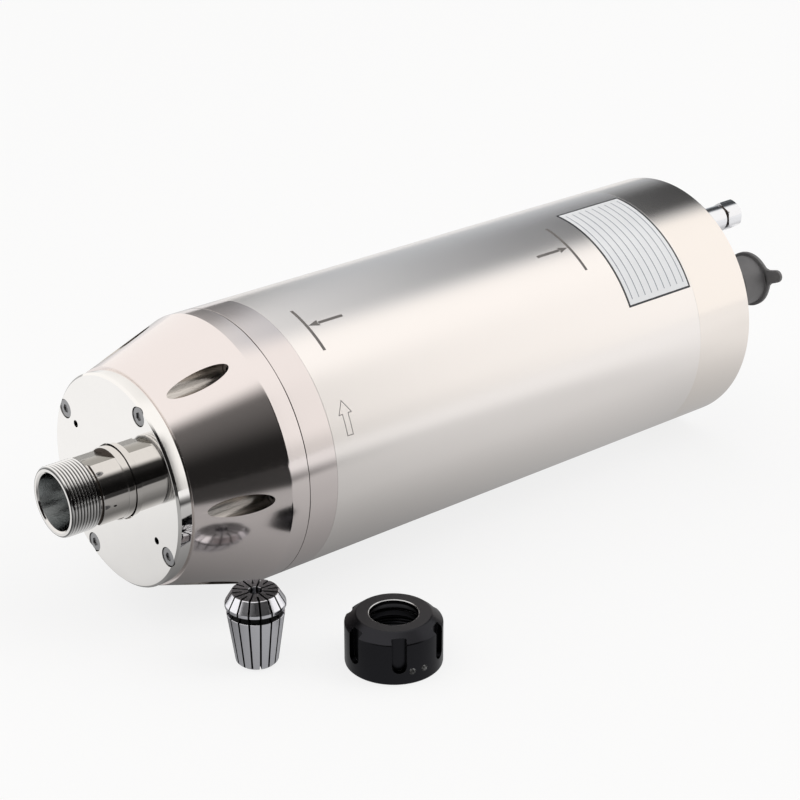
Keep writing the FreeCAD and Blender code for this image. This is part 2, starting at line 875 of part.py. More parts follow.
def spindle_shaft():
    """Hollow nose with the collet seat, then journals, rotor seat and tail."""
    thread_x1 = shaft_x0 + nose_thread_len
    relief_x1 = thread_x1 + nose_relief_len
    flats_x1 = thread_x1 + wrench_flat_len
    seat_x0 = stack_x0 - end_ring_len - rotor_seat_margin
    seat_x1 = stack_x1 + end_ring_len + rotor_seat_margin
    rear_step_x0 = rear_stack_x0 - rear_shoulder_len
    tail_x1 = rear_nut_x1 + shaft_tail_len
    thrust_r = front_bore_r + thrust_shoulder_step
    rotor_shoulder_r = rotor_seat_r + rotor_shoulder_step
    rear_neck_r = rear_bore_r + rear_neck_step
    rear_shoulder_r = rear_bore_r + rear_shoulder_step
    solid = turned([
        (shaft_x0, 0),
        (shaft_x0, nose_thread_r - nose_thread_bevel),
        (shaft_x0 + nose_thread_bevel, nose_thread_r),
        (thread_x1, nose_thread_r),
        (thread_x1, nose_thread_r - nose_relief_depth),
        (relief_x1, nose_thread_r - nose_relief_depth),
        (relief_x1, nose_thread_r),
        (flats_x1, nose_thread_r),
        (flats_x1, collar_r),
        (labyrinth_x0, collar_r),
        (labyrinth_x0, labyrinth_bore_r),
        (labyrinth_x0 + labyrinth_len, labyrinth_bore_r),
        (labyrinth_x0 + labyrinth_len, thrust_r),
        (front_stack_x0, thrust_r),
        (front_stack_x0, front_bore_r),
        (front_nut_x1, front_bore_r),
        (front_nut_x1, rotor_shoulder_r),
        (seat_x0, rotor_shoulder_r),
        (seat_x0, rotor_seat_r),
        (seat_x1, rotor_seat_r),
        (seat_x1, rear_neck_r),
        (rear_step_x0, rear_neck_r),
        (rear_step_x0, rear_shoulder_r),
        (rear_stack_x0, rear_shoulder_r),
        (rear_stack_x0, rear_bore_r),
        (tail_x1, rear_bore_r),
        (tail_x1, 0),
    ])
    flat = Part.makeBox(wrench_flat_len, 2 * collar_r, collar_r,
                        Vector(thread_x1, -collar_r, wrench_flat_across / 2))
    flats = [round_axis(flat, wrench_flat_turn + side) for side in (0, 180)]
    return solid.cut([collet_seat()] + flats)


def collet_seat():
    """Void of the tapered seat and the relieved bore behind it."""
    slope = math.tan(math.radians(taper_deg))
    seat_x1 = shaft_x0 + collet_seat_len
    seat_end_r = collet_seat_r - slope * collet_seat_len
    relief_r = seat_end_r - seat_relief_step
    relief_x1 = seat_x1 + seat_relief_len
    return turned([
        (shaft_x0 - cut_past, 0),
        (shaft_x0 - cut_past, collet_seat_r + slope * cut_past),
        (seat_x1, seat_end_r),
        (seat_x1, relief_r),
        (relief_x1, relief_r),
        (relief_x1 + relief_r * math.tan(math.radians(drill_point_deg)), 0),
    ])


def labyrinth_ring():
    """Grooved ring that throws coolant off before it reaches the bearings."""
    solid = ring(labyrinth_bore_r, labyrinth_r, labyrinth_x0, labyrinth_x0 + labyrinth_len)
    floor_r = labyrinth_r - labyrinth_groove_depth
    land = (labyrinth_len - labyrinth_grooves * labyrinth_groove_len) / (labyrinth_grooves + 1)
    cuts = []
    for i in range(labyrinth_grooves):
        x = labyrinth_x0 + land + i * (land + labyrinth_groove_len)
        cuts.append(ring(floor_r, labyrinth_r + cut_past, x, x + labyrinth_groove_len))
    return solid.cut(cuts)


def lock_nut(bore_r, outer_r, x0, x1):
    """Round nut with hook-wrench slots, which clamps the inner rings."""
    slot = Part.makeBox(x1 - x0, lock_nut_slot_depth + cut_past, lock_nut_slot_w,
                        Vector(x0, -outer_r - cut_past, -lock_nut_slot_w / 2))
    return ring(bore_r, outer_r, x0, x1).cut(around(slot, lock_nut_slots))


def front_lock_nut():
    return lock_nut(front_bore_r, front_bore_r + front_nut_wall, front_stack_x1, front_nut_x1)


def rear_lock_nut():
    return lock_nut(rear_bore_r, rear_nut_r, rear_stack_x1, rear_nut_x1)


# Water fittings

fitting_hex_x1 = cover_x1 + fitting_hex_len
fitting_barrel_x1 = fitting_hex_x1 + fitting_barrel_len
fitting_nut_x0 = fitting_barrel_x1 + fitting_neck_len
fitting_nut_x1 = fitting_nut_x0 + fitting_nut_len
fitting_stub_x1 = fitting_nut_x1 - fitting_nut_end


def at_fittings(shape):
    """Copies of a shape on the spindle axis, one at each water fitting."""
    return group([moved(round_axis(shape, turn), polar(fitting_circle_r, turn)) for turn in fitting_turns])


def water_fittings():
    """Screwed body: hexagon, barrel, neck, and the stub that the hose goes into."""
    thread_x0 = cover_x1 - fitting_thread_len
    hose_x0 = fitting_nut_x1 - hose_depth
    body = rod(fitting_thread_r, thread_x0, cover_x1).fuse([
        hexagon(fitting_hex_across, cover_x1, fitting_hex_x1),
        rod(fitting_barrel_r, fitting_hex_x1, fitting_barrel_x1),
        rod(fitting_stub_r + fitting_neck_step, fitting_barrel_x1, fitting_nut_x0),
        rod(fitting_stub_r, fitting_nut_x0, fitting_stub_x1),
    ]).removeSplitter()
    return at_fittings(body.cut([
        rod(water_bore_r, thread_x0 - cut_past, hose_x0),
        rod(hose_r, hose_x0, fitting_stub_x1 + cut_past),
    ]))


def water_fitting_nuts():
    """Compression nuts with a rounded end."""
    corner_r = fitting_nut_across / math.sqrt(3)
    envelope = turned([
        (fitting_nut_x0, 0),
        (fitting_nut_x0, corner_r),
        (fitting_nut_x1 - fitting_nut_round, corner_r),
        (fitting_nut_x1, (fitting_nut_across - fitting_nut_round) / 2),
        (fitting_nut_x1, 0),
    ])
    nut = hexagon(fitting_nut_across, fitting_nut_x0, fitting_nut_x1).common(envelope)
    return at_fittings(nut.cut([
        rod(fitting_stub_r + fitting_stub_gap, fitting_nut_x0 - cut_past, fitting_stub_x1),
        rod(hose_r, fitting_nut_x0, fitting_nut_x1 + cut_past),
    ]))


# Power connector

connector_seat = polar(connector_circle_r, connector_turn)


def at_connector(shape):
    """Copy of a shape built on the spindle axis, moved to the connector's seat."""
    return moved(round_axis(shape, connector_turn), connector_seat)


def connector_screw_seats():
    reach = connector_flange_side / 2 - connector_screw_edge
    return [connector_seat + polar(reach * math.sqrt(2), connector_turn + 45 + 90 * i) for i in range(4)]


def pin_seats():
    turns = [connector_turn + 360 / pin_count * (i + 0.5) for i in range(pin_count)]
    return [connector_seat + polar(pin_circle_r, turn) for turn in turns]


def connector_shell():
    """Square flange with the round shell that the plug and the cap go over."""
    half = connector_flange_side / 2
    plate = Part.makeBox(connector_flange_len, connector_flange_side, connector_flange_side,
                         Vector(cover_x1, -half, -half))
    corners = [e for e in plate.Edges if abs(e.tangentAt(e.FirstParameter).x) > 0.9]
    plate = plate.makeFillet(connector_corner, corners)
    shell_x1 = plate_x1 + shell_len
    solid = plate.fuse(rod(shell_r, plate_x1, shell_x1)).removeSplitter()
    solid = solid.cut([
        rod(shell_bore_r, plate_x1, shell_x1 + cut_past),
        rod(insert_r, cover_x1 - cut_past, plate_x1 + cut_past),
    ])
    hole = rod(m3_shank_r, cover_x1 - cut_past, plate_x1 + cut_past)
    return at_connector(solid).cut([moved(hole, seat) for seat in connector_screw_seats()])


def connector_insert():
    """Insulator that carries the contacts, with a flange inside the shell."""
    solid = rod(insert_r, insert_x0, plate_x1).fuse(rod(shell_bore_r, plate_x1, plate_x1 + insert_len))
    holes = [rod(pin_r, plate_x1, plate_x1 + insert_len + cut_past, seat) for seat in pin_seats()]
    return at_connector(solid.removeSplitter()).cut(holes)


def connector_pins():
    x1 = plate_x1 + insert_len + pin_reach
    return group([rod(pin_r, plate_x1, x1, seat) for seat in pin_seats()])


def connector_screws():
    grip = connector_flange_len + m3_grip - thread_reserve
    screw = cap_screw(plate_x1 + m3_head_len, m3_head_r, m3_head_len, m3_shank_r, grip,
                      m3_socket_across, m3_socket_depth, rear=True)
    return group([moved(screw, seat) for seat in connector_screw_seats()])


def connector_cap():
    """Push-on rubber cap with a pull tab."""
    skirt_r = shell_r + cap_gap + cap_skirt_wall
    cap_x0 = plate_x1 + shell_len + cap_seat_gap
    skirt_x0 = cap_x0 - cap_skirt_len
    tab_x1 = cap_x0 + cap_tab_len
    tab_centre = cap_tab_reach - cap_tab_w / 2
    tab = Part.makeBox(cap_tab_len, tab_centre, cap_tab_w, Vector(cap_x0, -tab_centre, -cap_tab_w / 2))
    tip = rod(cap_tab_w / 2, cap_x0, tab_x1, Vector(0, -tab_centre, 0))
    plate = rod(skirt_r + cap_plate_edge, cap_x0, cap_x0 + cap_plate_len)
    solid = plate.fuse([tab, tip, rod(skirt_r, skirt_x0, cap_x0)]).removeSplitter()
    return at_connector(solid.cut(rod(shell_r + cap_gap, skirt_x0 - cut_past, cap_x0)))


# Collet and its nut

def standing(shape, x, y, turn):
    """Place a shape built on the origin onto the floor, turned about Z."""
    copy = shape.copy()
    copy.rotate(ORIGIN, UP, turn)
    return moved(copy, Vector(x, y, floor_z))


def about_z(shape, count, turn=0.0):
    copies = []
    for i in range(count):
        copy = shape.copy()
        copy.rotate(ORIGIN, UP, turn + 360.0 * i / count)
        copies.append(copy)
    return copies


def collet():
    """Spring collet: two tapers, an extraction groove, slits cut from both ends in turn."""
    slope = math.tan(math.radians(taper_deg))
    taper_top_r = collet_r - collet_taper_step
    foot_r = taper_top_r - slope * (collet_taper_len - collet_foot_bevel)
    groove_r = collet_r - collet_groove_depth
    relief_r = collet_bore_r + collet_relief_step
    relief_z1 = collet_len - collet_grip_len
    body = turned([
        (0, relief_r),
        (0, foot_r - collet_foot_bevel),
        (collet_foot_bevel, foot_r),
        (collet_groove_z0, taper_top_r),
        (collet_groove_z0, groove_r),
        (collet_groove_z1, groove_r),
        (collet_groove_z1, collet_r),
        (collet_rim_z1, collet_r),
        (collet_len, collet_face_r),
        (collet_len, collet_bore_r),
        (relief_z1, collet_bore_r),
        (relief_z1, relief_r),
    ], UP)
    reach = collet_r + cut_past
    from_top = Part.makeBox(reach, slit_w, collet_len, Vector(0, -slit_w / 2, slit_stop))
    from_foot = Part.makeBox(reach, slit_w, collet_len, Vector(0, -slit_w / 2, -slit_stop))
    cuts = about_z(from_top, slit_pairs) + about_z(from_foot, slit_pairs, 180 / slit_pairs)
    return standing(body.cut(cuts), collet_x, collet_y, collet_turn)


def collet_nut():
    """Clamping nut: hook-wrench slots, closing cone and an offset lip that pulls the collet out."""
    cone_z1 = nut_len - nut_opening_len
    cone_z0 = cone_z1 - nut_cone_len
    lip_len = collet_groove_len - nut_lip_gap
    lip_z0 = cone_z0 - lip_len
    lip_r = collet_r - collet_groove_depth + nut_lip_step
    stock_r = lip_r - 2 * nut_lip_offset
    cone_r = nut_opening_r + nut_cone_len * math.tan(math.radians(head_deg))
    body = turned([
        (0, nut_thread_r + thread_depth),
        (0, nut_r - nut_foot_bevel),
        (nut_foot_bevel, nut_r),
        (nut_side_len, nut_r),
        (nut_len, nut_face_r),
        (nut_len, nut_opening_r),
        (cone_z1, nut_opening_r),
        (cone_z0, cone_r),
        (cone_z0, stock_r),
        (lip_z0, stock_r),
        (lip_z0, nut_thread_r),
        (thread_depth, nut_thread_r),
    ], UP)
    lip = Part.makeCylinder(lip_r, lip_len, Vector(nut_lip_offset, 0, lip_z0))
    half_w = wrench_slot_w / 2
    slot_floor_r = nut_r - wrench_slot_depth
    slot_z = wrench_slot_base + half_w
    slot = Part.makeBox(nut_r, wrench_slot_w, nut_len, Vector(slot_floor_r, -half_w, slot_z))
    foot = Part.makeCylinder(half_w, nut_r, Vector(slot_floor_r, 0, slot_z), AXIS)
    dimple = Part.makeCylinder(balance_hole_r, balance_hole_depth + cut_past,
                               Vector(nut_r - balance_hole_depth, 0, balance_hole_z), AXIS)
    cuts = [lip] + about_z(slot, wrench_slot_count) + about_z(foot, wrench_slot_count)
    for turn in balance_hole_turns:
        cuts += about_z(dimple, 1, turn - nut_turn)
    return standing(body.cut(cuts), nut_x, nut_y, nut_turn)


NODES = [
    housing_tube, front_ring, nose_cone, nose_flange, flange_screws, cone_screws,
    rear_housing, rear_cover, rear_cover_screws, seal_rings, water_jacket,
    stator_core, stator_windings, motor_leads, rotor_core, rotor_end_rings,
    front_outer_rings, front_inner_rings, front_balls, front_cages,
    front_outer_spacer, front_inner_spacer, front_lock_nut, labyrinth_ring,
    rear_outer_rings, rear_inner_rings, rear_balls, rear_cages,
    rear_outer_spacer, rear_inner_spacer, rear_lock_nut,
    rear_bearing_sleeve, rear_clamp_ring, preload_disc_spring, spindle_shaft,
    water_fittings, water_fitting_nuts,
    connector_shell, connector_insert, connector_pins, connector_screws, connector_cap,
    collet, collet_nut,
]


def build():
    os.makedirs("parts", exist_ok=True)
    for make in NODES:
        make().exportStep("parts/" + make.__name__ + ".step")


build()
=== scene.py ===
import math

import bmesh
import bpy
from mathutils import Matrix, Vector


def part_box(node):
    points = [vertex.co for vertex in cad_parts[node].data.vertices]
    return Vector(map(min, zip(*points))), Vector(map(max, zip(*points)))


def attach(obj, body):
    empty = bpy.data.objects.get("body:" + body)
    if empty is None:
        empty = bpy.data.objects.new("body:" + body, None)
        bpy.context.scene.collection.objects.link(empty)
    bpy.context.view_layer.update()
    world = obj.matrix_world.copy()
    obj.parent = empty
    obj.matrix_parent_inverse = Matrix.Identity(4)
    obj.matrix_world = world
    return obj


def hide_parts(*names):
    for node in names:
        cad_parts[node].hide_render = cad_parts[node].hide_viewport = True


# A water-cooled motor spindle lying on its side, with its collet and collet nut standing in front of it.
# +X runs along the spindle axis to the rear, +Z is up, and the origin is in the middle of the clamp zone.
# Sizes are in millimetres and become metres where a mesh is made. Angles round the axis start at -Y and
# turn towards +Z.

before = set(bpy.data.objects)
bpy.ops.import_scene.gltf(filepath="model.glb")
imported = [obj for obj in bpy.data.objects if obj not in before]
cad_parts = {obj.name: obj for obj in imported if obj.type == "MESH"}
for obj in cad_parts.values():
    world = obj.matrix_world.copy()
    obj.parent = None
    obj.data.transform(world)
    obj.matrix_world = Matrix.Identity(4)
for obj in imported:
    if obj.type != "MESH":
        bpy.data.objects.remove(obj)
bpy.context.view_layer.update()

MM = 0.001
SIDES = 256
SMALL_SIDES = 64
CUT_PAST = 1.0


def span(node):
    """Lowest and highest corner of a solid, in millimetres."""
    low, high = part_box(node)
    return low / MM, high / MM


# Stations and radii read from the solids
tube_low, tube_high = span("housing_tube")
body_r = tube_high.z
floor_z = tube_low.z
ring_x0 = span("front_ring")[0].x
cone_x0 = span("nose_cone")[0].x
flange_x0 = span("nose_flange")[0].x
flange_r = span("nose_flange")[1].z
shaft_x0 = span("spindle_shaft")[0].x
rear_low, rear_high = span("rear_housing")
cover_low, cover_high = span("rear_cover")
cover_r = cover_high.z
collet_low, collet_high = span("collet")
nut_low, nut_high = span("collet_nut")
cap_low, cap_high = span("connector_cap")
fitting_high = span("water_fittings")[1]
fitting_nut_low, fitting_nut_high = span("water_fitting_nuts")

# Housing
tube_wall = 5.0
seam_bevel = 0.3
edge_round = 0.25
nose_edge_x = ring_x0 - 9.5
nose_front_r = 49.5
bearing_r = 37.5
barrel_r = 43.0
land_r = 33.0
front_spigot_x1 = ring_x0 + 5.0
outer_rings_x1 = -111.5
flange_bevel = 1.0
flange_spigot_x1 = cone_x0 + 8.0
flange_hole_r = 17.0
flange_pocket_r = 27.4
flange_pocket_x = flange_x0 + 4.0

# Screws: head radius, head length, shank radius, socket across flats, socket depth
m5_screw = (4.25, 4.7, 2.5, 4.0, 2.6)
flange_screw = (4.25, 4.7, 2.5, 3.6, 0.7)
m4_screw = (3.5, 4.0, 2.0, 3.0, 2.0)
head_gap = 0.25
flange_screw_r = 43.7
flange_screw_turn = 61.4
flange_head_x = flange_x0 + 0.3
puller_hole_r = 1.65
puller_circle_r = 34.5
puller_turn = -28.6
cone_screw_r = 55.7
cone_screw_turn = 1.5
cone_seat_x = ring_x0 - 10.5
cover_screw_r = 53.0
cover_screw_turn = 51.0

# Nose of the shaft
thread_len = 14.5
thread_pitch = 1.5
thread_r = 16.0
thread_depth = 0.85
groove_len = 1.2
groove_r = 14.9
flats_len = 13.5
flats_across = 27.0
flats_turn = 10.0
collar_r = 16.5
seat_r = 13.0
seat_len = 28.0
seat_slope = math.tan(math.radians(8))
mouth_bevel = 0.7
relief_r = 8.46
relief_len = 14.0
relief_point = 5.1

# Steps of the shaft inside: where each starts, and its radius
journals = ((flange_pocket_x + 0.5, 19.0), (flange_pocket_x + 8.5, 25.5), (flange_spigot_x1, 22.5), (-99.5, 21.5),
            (-79, 20), (83, 18.5), (109, 20.5), (113, 17.5))

# Rear end
rear_lip_r = 28.0
rear_bore_r = 33.53
rear_barrel_r = 36.53
rear_pocket_r = 42.0
fitting_circle_r = 48.0
fitting_turn = 66.0
hose_r = 4.05
fitting_hex_across = 13.0
fitting_hex_x1 = cover_high.x + 6.0
fitting_barrel_r = 6.4
fitting_neck_r = 5.6
fitting_nut_across = 13.2
fitting_nut_round = 1.4
connector_circle_r = 37.1
connector_turn = 20.2
cap_plate_r = 14.1
cap_face_r = 12.4
cap_tab_reach = 23.2
cap_tab_w = 6.4
cap_tab_len = 2.0

# Collet and nut
collet_turn = -4.0
collet_bore_r = 3.0
slit_w = 0.85
slit_stop = 1.0
slit_web_r = 5.6
slit_pairs = 8
nut_r = 21.0
nut_turn = -3.0
nut_thread_r = 15.2
nut_opening_r = 10.5
slot_w = 6.4
slot_floor_r = 18.4
slot_base = 5.6
nut_thread_len = 14.8
nut_lip_r = 11.8
dimple_r = 1.5
dimple_height = 6.0
dimple_turns = (-107.7, -92.0)

# Marks on the tube, by their places along the axis and their turns. Each clamp mark: its line's place and two
# turns, then its arrow's turn and tail. The turning arrow: place, and the turns of its tail, head and tip
mark_w = 1.5
mark_lift = 0.02
clamp_marks = ((-78.1, 53.5, 77.6, 66.8, -58.5), (77.9, 51.6, 80.4, 65.3, 57.4))
arrow_head_len = 5.5
arrow_head_w = 3.6
turning_arrow_place = (-82.0, 17.7, 26.5, 31.9)
plate_x0 = 92.2
plate_x1 = 134.0
plate_turns = (29.5, 88.3)
PER_MM = math.degrees(1 / body_r)


# Places and outlines

def polar(radius, turn, x=0.0):
    """Point at a radius and turn round the spindle axis."""
    a = math.radians(turn)
    return Vector((x, -radius * math.cos(a), radius * math.sin(a)))


def upright(radius, turn, z=0.0):
    """Point at a radius and turn round a vertical axis."""
    a = math.radians(turn)
    return Vector((radius * math.cos(a), radius * math.sin(a), z))


def rounded(corners, radius=edge_round, steps=3):
    """Closed outline of (along, radius) points with a short arc at each corner that is off the axis.
    A third number at a corner is its own rounding."""
    outline = []
    for i, corner in enumerate(corners):
        here = Vector(corner[:2])
        r = corner[2] if len(corner) > 2 else radius
        if r == 0 or here.y < r:
            outline.append(here)
            continue
        before = Vector(corners[i - 1][:2]) - here
        after = Vector(corners[(i + 1) % len(corners)][:2]) - here
        reach = min(r, 0.45 * before.length, 0.45 * after.length)
        start = here + before.normalized() * reach
        end = here + after.normalized() * reach
        for k in range(steps + 1):
            t = k / steps
            outline.append(start * (1 - t) ** 2 + here * 2 * t * (1 - t) + end * t ** 2)
    return outline


# Meshes

def with_values(item, **values):
    for key, value in values.items():
        setattr(item, key, value)
    return item


def new_object(name, mesh):
    obj = bpy.data.objects.new(name, mesh)
    bpy.context.scene.collection.objects.link(obj)
    return obj


def from_bmesh(name, shape):
    """Object in metres from a shape in millimetres, with faces that point outwards."""
    bmesh.ops.recalc_face_normals(shape, faces=shape.faces)
    mesh = bpy.data.meshes.new(name)
    shape.to_mesh(mesh)
    shape.free()
    mesh.transform(Matrix.Scale(MM, 4))
    return new_object(name, mesh)


def lathe(name, outline, sides=SIDES, place=polar):
    """Closed solid of revolution from a closed outline of (along, radius) points."""
    shape = bmesh.new()
    rings = []
    for along, radius in outline:
        count = sides if radius > 0 else 1
        rings.append([shape.verts.new(place(radius, 360 * i / sides, along)) for i in range(count)])
    for low, high in zip(rings, rings[1:] + rings[:1]):
        if len(low) == 1 and len(high) == 1:
            continue
        for i in range(sides):
            j = (i + 1) % sides
            corners = [low[i % len(low)], low[j % len(low)], high[j % len(high)], high[i % len(high)]]
            shape.faces.new(list(dict.fromkeys(corners)))
    return from_bmesh(name, shape)


def extruded(name, outline, start, end, place):
    """Prism over a flat outline. place(u, v, w) puts a point of the outline at height w."""
    shape = bmesh.new()
    low, high = [[shape.verts.new(place(u, v, w)) for u, v in outline] for w in (start, end)]
    ends = [shape.faces.new(low), shape.faces.new(high)]
    for i in range(len(outline)):
        j = (i + 1) % len(outline)
        shape.faces.new([low[i], low[j], high[j], high[i]])
    if place == on_tube:  # its ends are bent, so they are cut into triangles
        bmesh.ops.triangulate(shape, faces=ends)
    return from_bmesh(name, shape)


def along_x(u, v, w):
    return Vector((w, u, v))


def along_z(u, v, w):
    return Vector((u, v, w))


def on_tube(x, turn, radius):
    return polar(radius, turn, x)


def circle(radius, sides=SMALL_SIDES, u=0.0, v=0.0, start=0.0):
    turns = [math.radians(start + 360 * i / sides) for i in range(sides)]
    return [(u + radius * math.cos(t), v + radius * math.sin(t)) for t in turns]


def rod(name, radius, x0, x1, at=Vector((0, 0, 0)), sides=SMALL_SIDES):
    return extruded(name, circle(radius, sides, at.y, at.z), x0, x1, along_x)


def hexagon(name, across, x0, x1):
    return extruded(name, circle(across / math.sqrt(3), 6, start=30), x0, x1, along_x)


def block(name, low, high):
    corners = [(low[0], low[1]), (high[0], low[1]), (high[0], high[1]), (low[0], high[1])]
    return extruded(name, corners, low[2], high[2], along_z)


def turned(obj, turn, axis="X"):
    """Turn a mesh from -Y round the spindle axis, or round another axis."""
    obj.data.transform(Matrix.Rotation(math.radians(-turn if axis == "X" else turn), 4, axis))
    return obj


def shifted(obj, by):
    obj.data.transform(Matrix.Translation(by * MM))
    return obj


def plain_mesh(obj):
    """Replace an object's mesh by the result of its modifiers, and remove them."""
    depsgraph = bpy.context.evaluated_depsgraph_get()
    mesh = bpy.data.meshes.new_from_object(obj.evaluated_get(depsgraph), depsgraph=depsgraph)
    obj.modifiers.clear()
    old = obj.data
    obj.data = mesh
    bpy.data.meshes.remove(old)
    return obj


def joined(name, parts):
    shape = bmesh.new()
    for part in parts:
        shape.from_mesh(part.data)
        bpy.data.objects.remove(part)
    mesh = bpy.data.meshes.new(name)
    shape.to_mesh(mesh)
    shape.free()
    return new_object(name, mesh)


def combined(obj, parts, operation="DIFFERENCE", material=0):
    """Cut parts that don't touch each other from an object, or join them to it. The cut faces get the
    material with this number."""
    tool = joined(obj.name + "_tool", parts)
    for polygon in tool.data.polygons:
        polygon.material_index = material
    with_values(obj.modifiers.new("combine", "BOOLEAN"), operation=operation, solver="EXACT", object=tool)
    plain_mesh(obj)
    bpy.data.objects.remove(tool)
    return obj


def painted(obj, number, where, axis=0):
    """Give the material with this number to the faces for which where(along, radius, normal) is true.
    Sizes are in millimetres, along and round the spindle axis, or the upright axis when axis is 2."""
    for polygon in obj.data.polygons:
        centre = polygon.center / MM
        along = centre[axis]
        if where(along, math.sqrt(centre.length_squared - along ** 2), polygon.normal):
            polygon.material_index = number
    return obj


def bevelled(obj, width, segments=2, material=-1, limit=35):
    with_values(obj.modifiers.new("bevel", "BEVEL"), width=width * MM, segments=segments, limit_method="ANGLE",
                angle_limit=math.radians(limit), material=material, use_clamp_overlap=True)
    return plain_mesh(obj)


def smooth(obj, axis=(1, 0, 0), centre=(0, 0, 0), crease=32):
    """Give each face corner the normal of the true round surface. A face that belongs to a shape turned
    about the axis takes its slope from the faces beside it, weighted by area, and its direction from its own
    place round the axis. Other faces blend with those beside them. Edges past the crease stay sharp."""
    mesh = obj.data
    axis = Vector(axis)
    centre = Vector(centre) * MM
    limit = math.cos(math.radians(crease))

    def outwards(point):
        arm = point - centre
        arm -= axis * arm.dot(axis)
        return arm.normalized() if arm.length > 1e-7 else Vector((0, 0, 0))

    slopes = []
    at_vertex = [[] for _ in mesh.vertices]
    for polygon in mesh.polygons:
        out, normal = outwards(polygon.center), polygon.normal
        is_round = abs(normal.dot(axis.cross(out))) < 0.06
        slopes.append(Vector((normal.dot(axis), normal.dot(out), 0)).normalized() if is_round else None)
        for v in polygon.vertices:
            at_vertex[v].append(polygon.index)
    normals = []
    for polygon in mesh.polygons:
        is_round = slopes[polygon.index] is not None
        own = slopes[polygon.index] if is_round else polygon.normal
        for v in polygon.vertices:
            total = Vector((0, 0, 0))
            for other in at_vertex[v]:
                theirs = slopes[other] if is_round else mesh.polygons[other].normal
                if theirs is not None and theirs.dot(own) > limit:
                    total += theirs * mesh.polygons[other].area
            if is_round:
                total = total.normalized()
                total = axis * total.x + outwards(mesh.vertices[v].co) * total.y
            normals.append(total.normalized() if total.length > 0 else polygon.normal)
    mesh.shade_smooth()
    mesh.normals_split_custom_set(normals)
    return obj


# Node trees

class Out:
    """One output of a node, its first unless [] picks another. Arithmetic on it adds Math nodes."""

    def __init__(self, tree, node, key=0):
        self.tree, self.node, self.key = tree, node, key

    def __getitem__(self, key):
        return Out(self.tree, self.node, key)

    def __add__(self, other):
        return maths("ADD", self, other)

    def __sub__(self, other):
        return maths("SUBTRACT", self, other)

    def __rsub__(self, other):
        return maths("SUBTRACT", other, self)

    def __mul__(self, other):
        return maths("MULTIPLY", self, other)


def feed(node, sources):
    """Set inputs, each by its name or number, to a value or to an output. None leaves one alone."""
    for key, source in sources.items():
        if isinstance(source, Out):
            source.tree.links.new(source.node.outputs[source.key], node.inputs[key])
        elif source is not None:
            node.inputs[key].default_value = source


def wire(tree, kind, *sources, named=(), **settings):
    """New node with its settings. Sources are in the order of its inputs, and named ones follow."""
    node = with_values(tree.nodes.new(kind), **settings)
    feed(node, {**dict(enumerate(sources)), **dict(named)})
    return Out(tree, node)


def maths(operation, *sources):
    tree = next(source.tree for source in sources if isinstance(source, Out))
    return wire(tree, "ShaderNodeMath", *sources, operation=operation)


def clamped(value, high):
    return maths("MINIMUM", maths("MAXIMUM", value, 0.0), high)


def split(vector):
    parts = wire(vector.tree, "ShaderNodeSeparateXYZ", vector)
    return parts[0], parts[1], parts[2]


def step_up(value, low, high, ends=(0.0, 1.0)):
    """0 below low, 1 above high, and a soft rise between."""
    return wire(value.tree, "ShaderNodeMapRange", value, low, high, *ends, interpolation_type="SMOOTHSTEP")


def step_down(value, low, high):
    return step_up(value, low, high, (1.0, 0.0))


def window(value, low, high, soft_low, soft_high):
    """1 between two limits, with a soft rise at the first and a soft fall at the second."""
    return step_up(value, low - soft_low, low + soft_low) * step_down(value, high - soft_high, high + soft_high)


def blended(factor, low, high):
    """low where the factor is 0 and high where it is 1. Either may be an output."""
    return wire(factor.tree, "ShaderNodeMix", factor, None, low, high, data_type="FLOAT")


def between(factor, low, high):
    """Goes from low to high, both plain numbers, as the factor goes from 0 to 1."""
    return maths("MULTIPLY_ADD", factor, high - low, low)


def tinted(factor, low, high):
    """Goes from one colour to another. Each has three parts, or is an output."""
    low, high = [colour if isinstance(colour, Out) else (*colour, 1) for colour in (low, high)]
    return wire(factor.tree, "ShaderNodeMix", data_type="RGBA", named={"Factor": factor, 6: low, 7: high})[2]


def new_tree(name, kind, inputs):
    """Node group and its input node. An input is given as its default, or as its kind where it has none."""
    tree = bpy.data.node_groups.new(name, kind + "NodeTree")
    kinds = {float: "Float", int: "Int", tuple: "Vector"}
    for label, value in inputs.items():
        socket_kind = kinds.get(type(value), value)
        socket = tree.interface.new_socket(label, in_out="INPUT", socket_type="NodeSocket" + socket_kind)
        if socket_kind != value:
            socket.default_value = value
    return tree, wire(tree, "NodeGroupInput")


def closed(result, label="Geometry", kind="Geometry"):
    """The tree of a result, with that result as its one output."""
    result.tree.interface.new_socket(label, in_out="OUTPUT", socket_type="NodeSocket" + kind)
    wire(result.tree, "NodeGroupOutput", result)
    return result.tree


def run_tree(name, tree, values, lengths=()):
    """Object made by a geometry tree with these named inputs, as a plain mesh. Lengths are in millimetres."""
    obj = new_object(name, bpy.data.meshes.new(name))
    modifier = obj.modifiers.new("tree", "NODES")
    modifier.node_group = tree
    values = {**values, **{label: length * MM for label, length in dict(lengths).items()}}
    for item in tree.interface.items_tree:
        if item.item_type == "SOCKET" and item.in_out == "INPUT" and item.name in values:
            modifier[item.identifier] = values[item.name]
    return plain_mesh(obj)


def spread(points, piece, rotation=None):
    """A copy of a piece at each point, as real geometry."""
    copies = wire(points.tree, "GeometryNodeInstanceOnPoints",
                  named={"Points": points, "Instance": piece, "Rotation": rotation})
    return wire(points.tree, "GeometryNodeRealizeInstances", copies)


def merged(geometry):
    return wire(geometry.tree, "GeometryNodeMergeByDistance", named={"Geometry": geometry, "Distance": 1e-6})


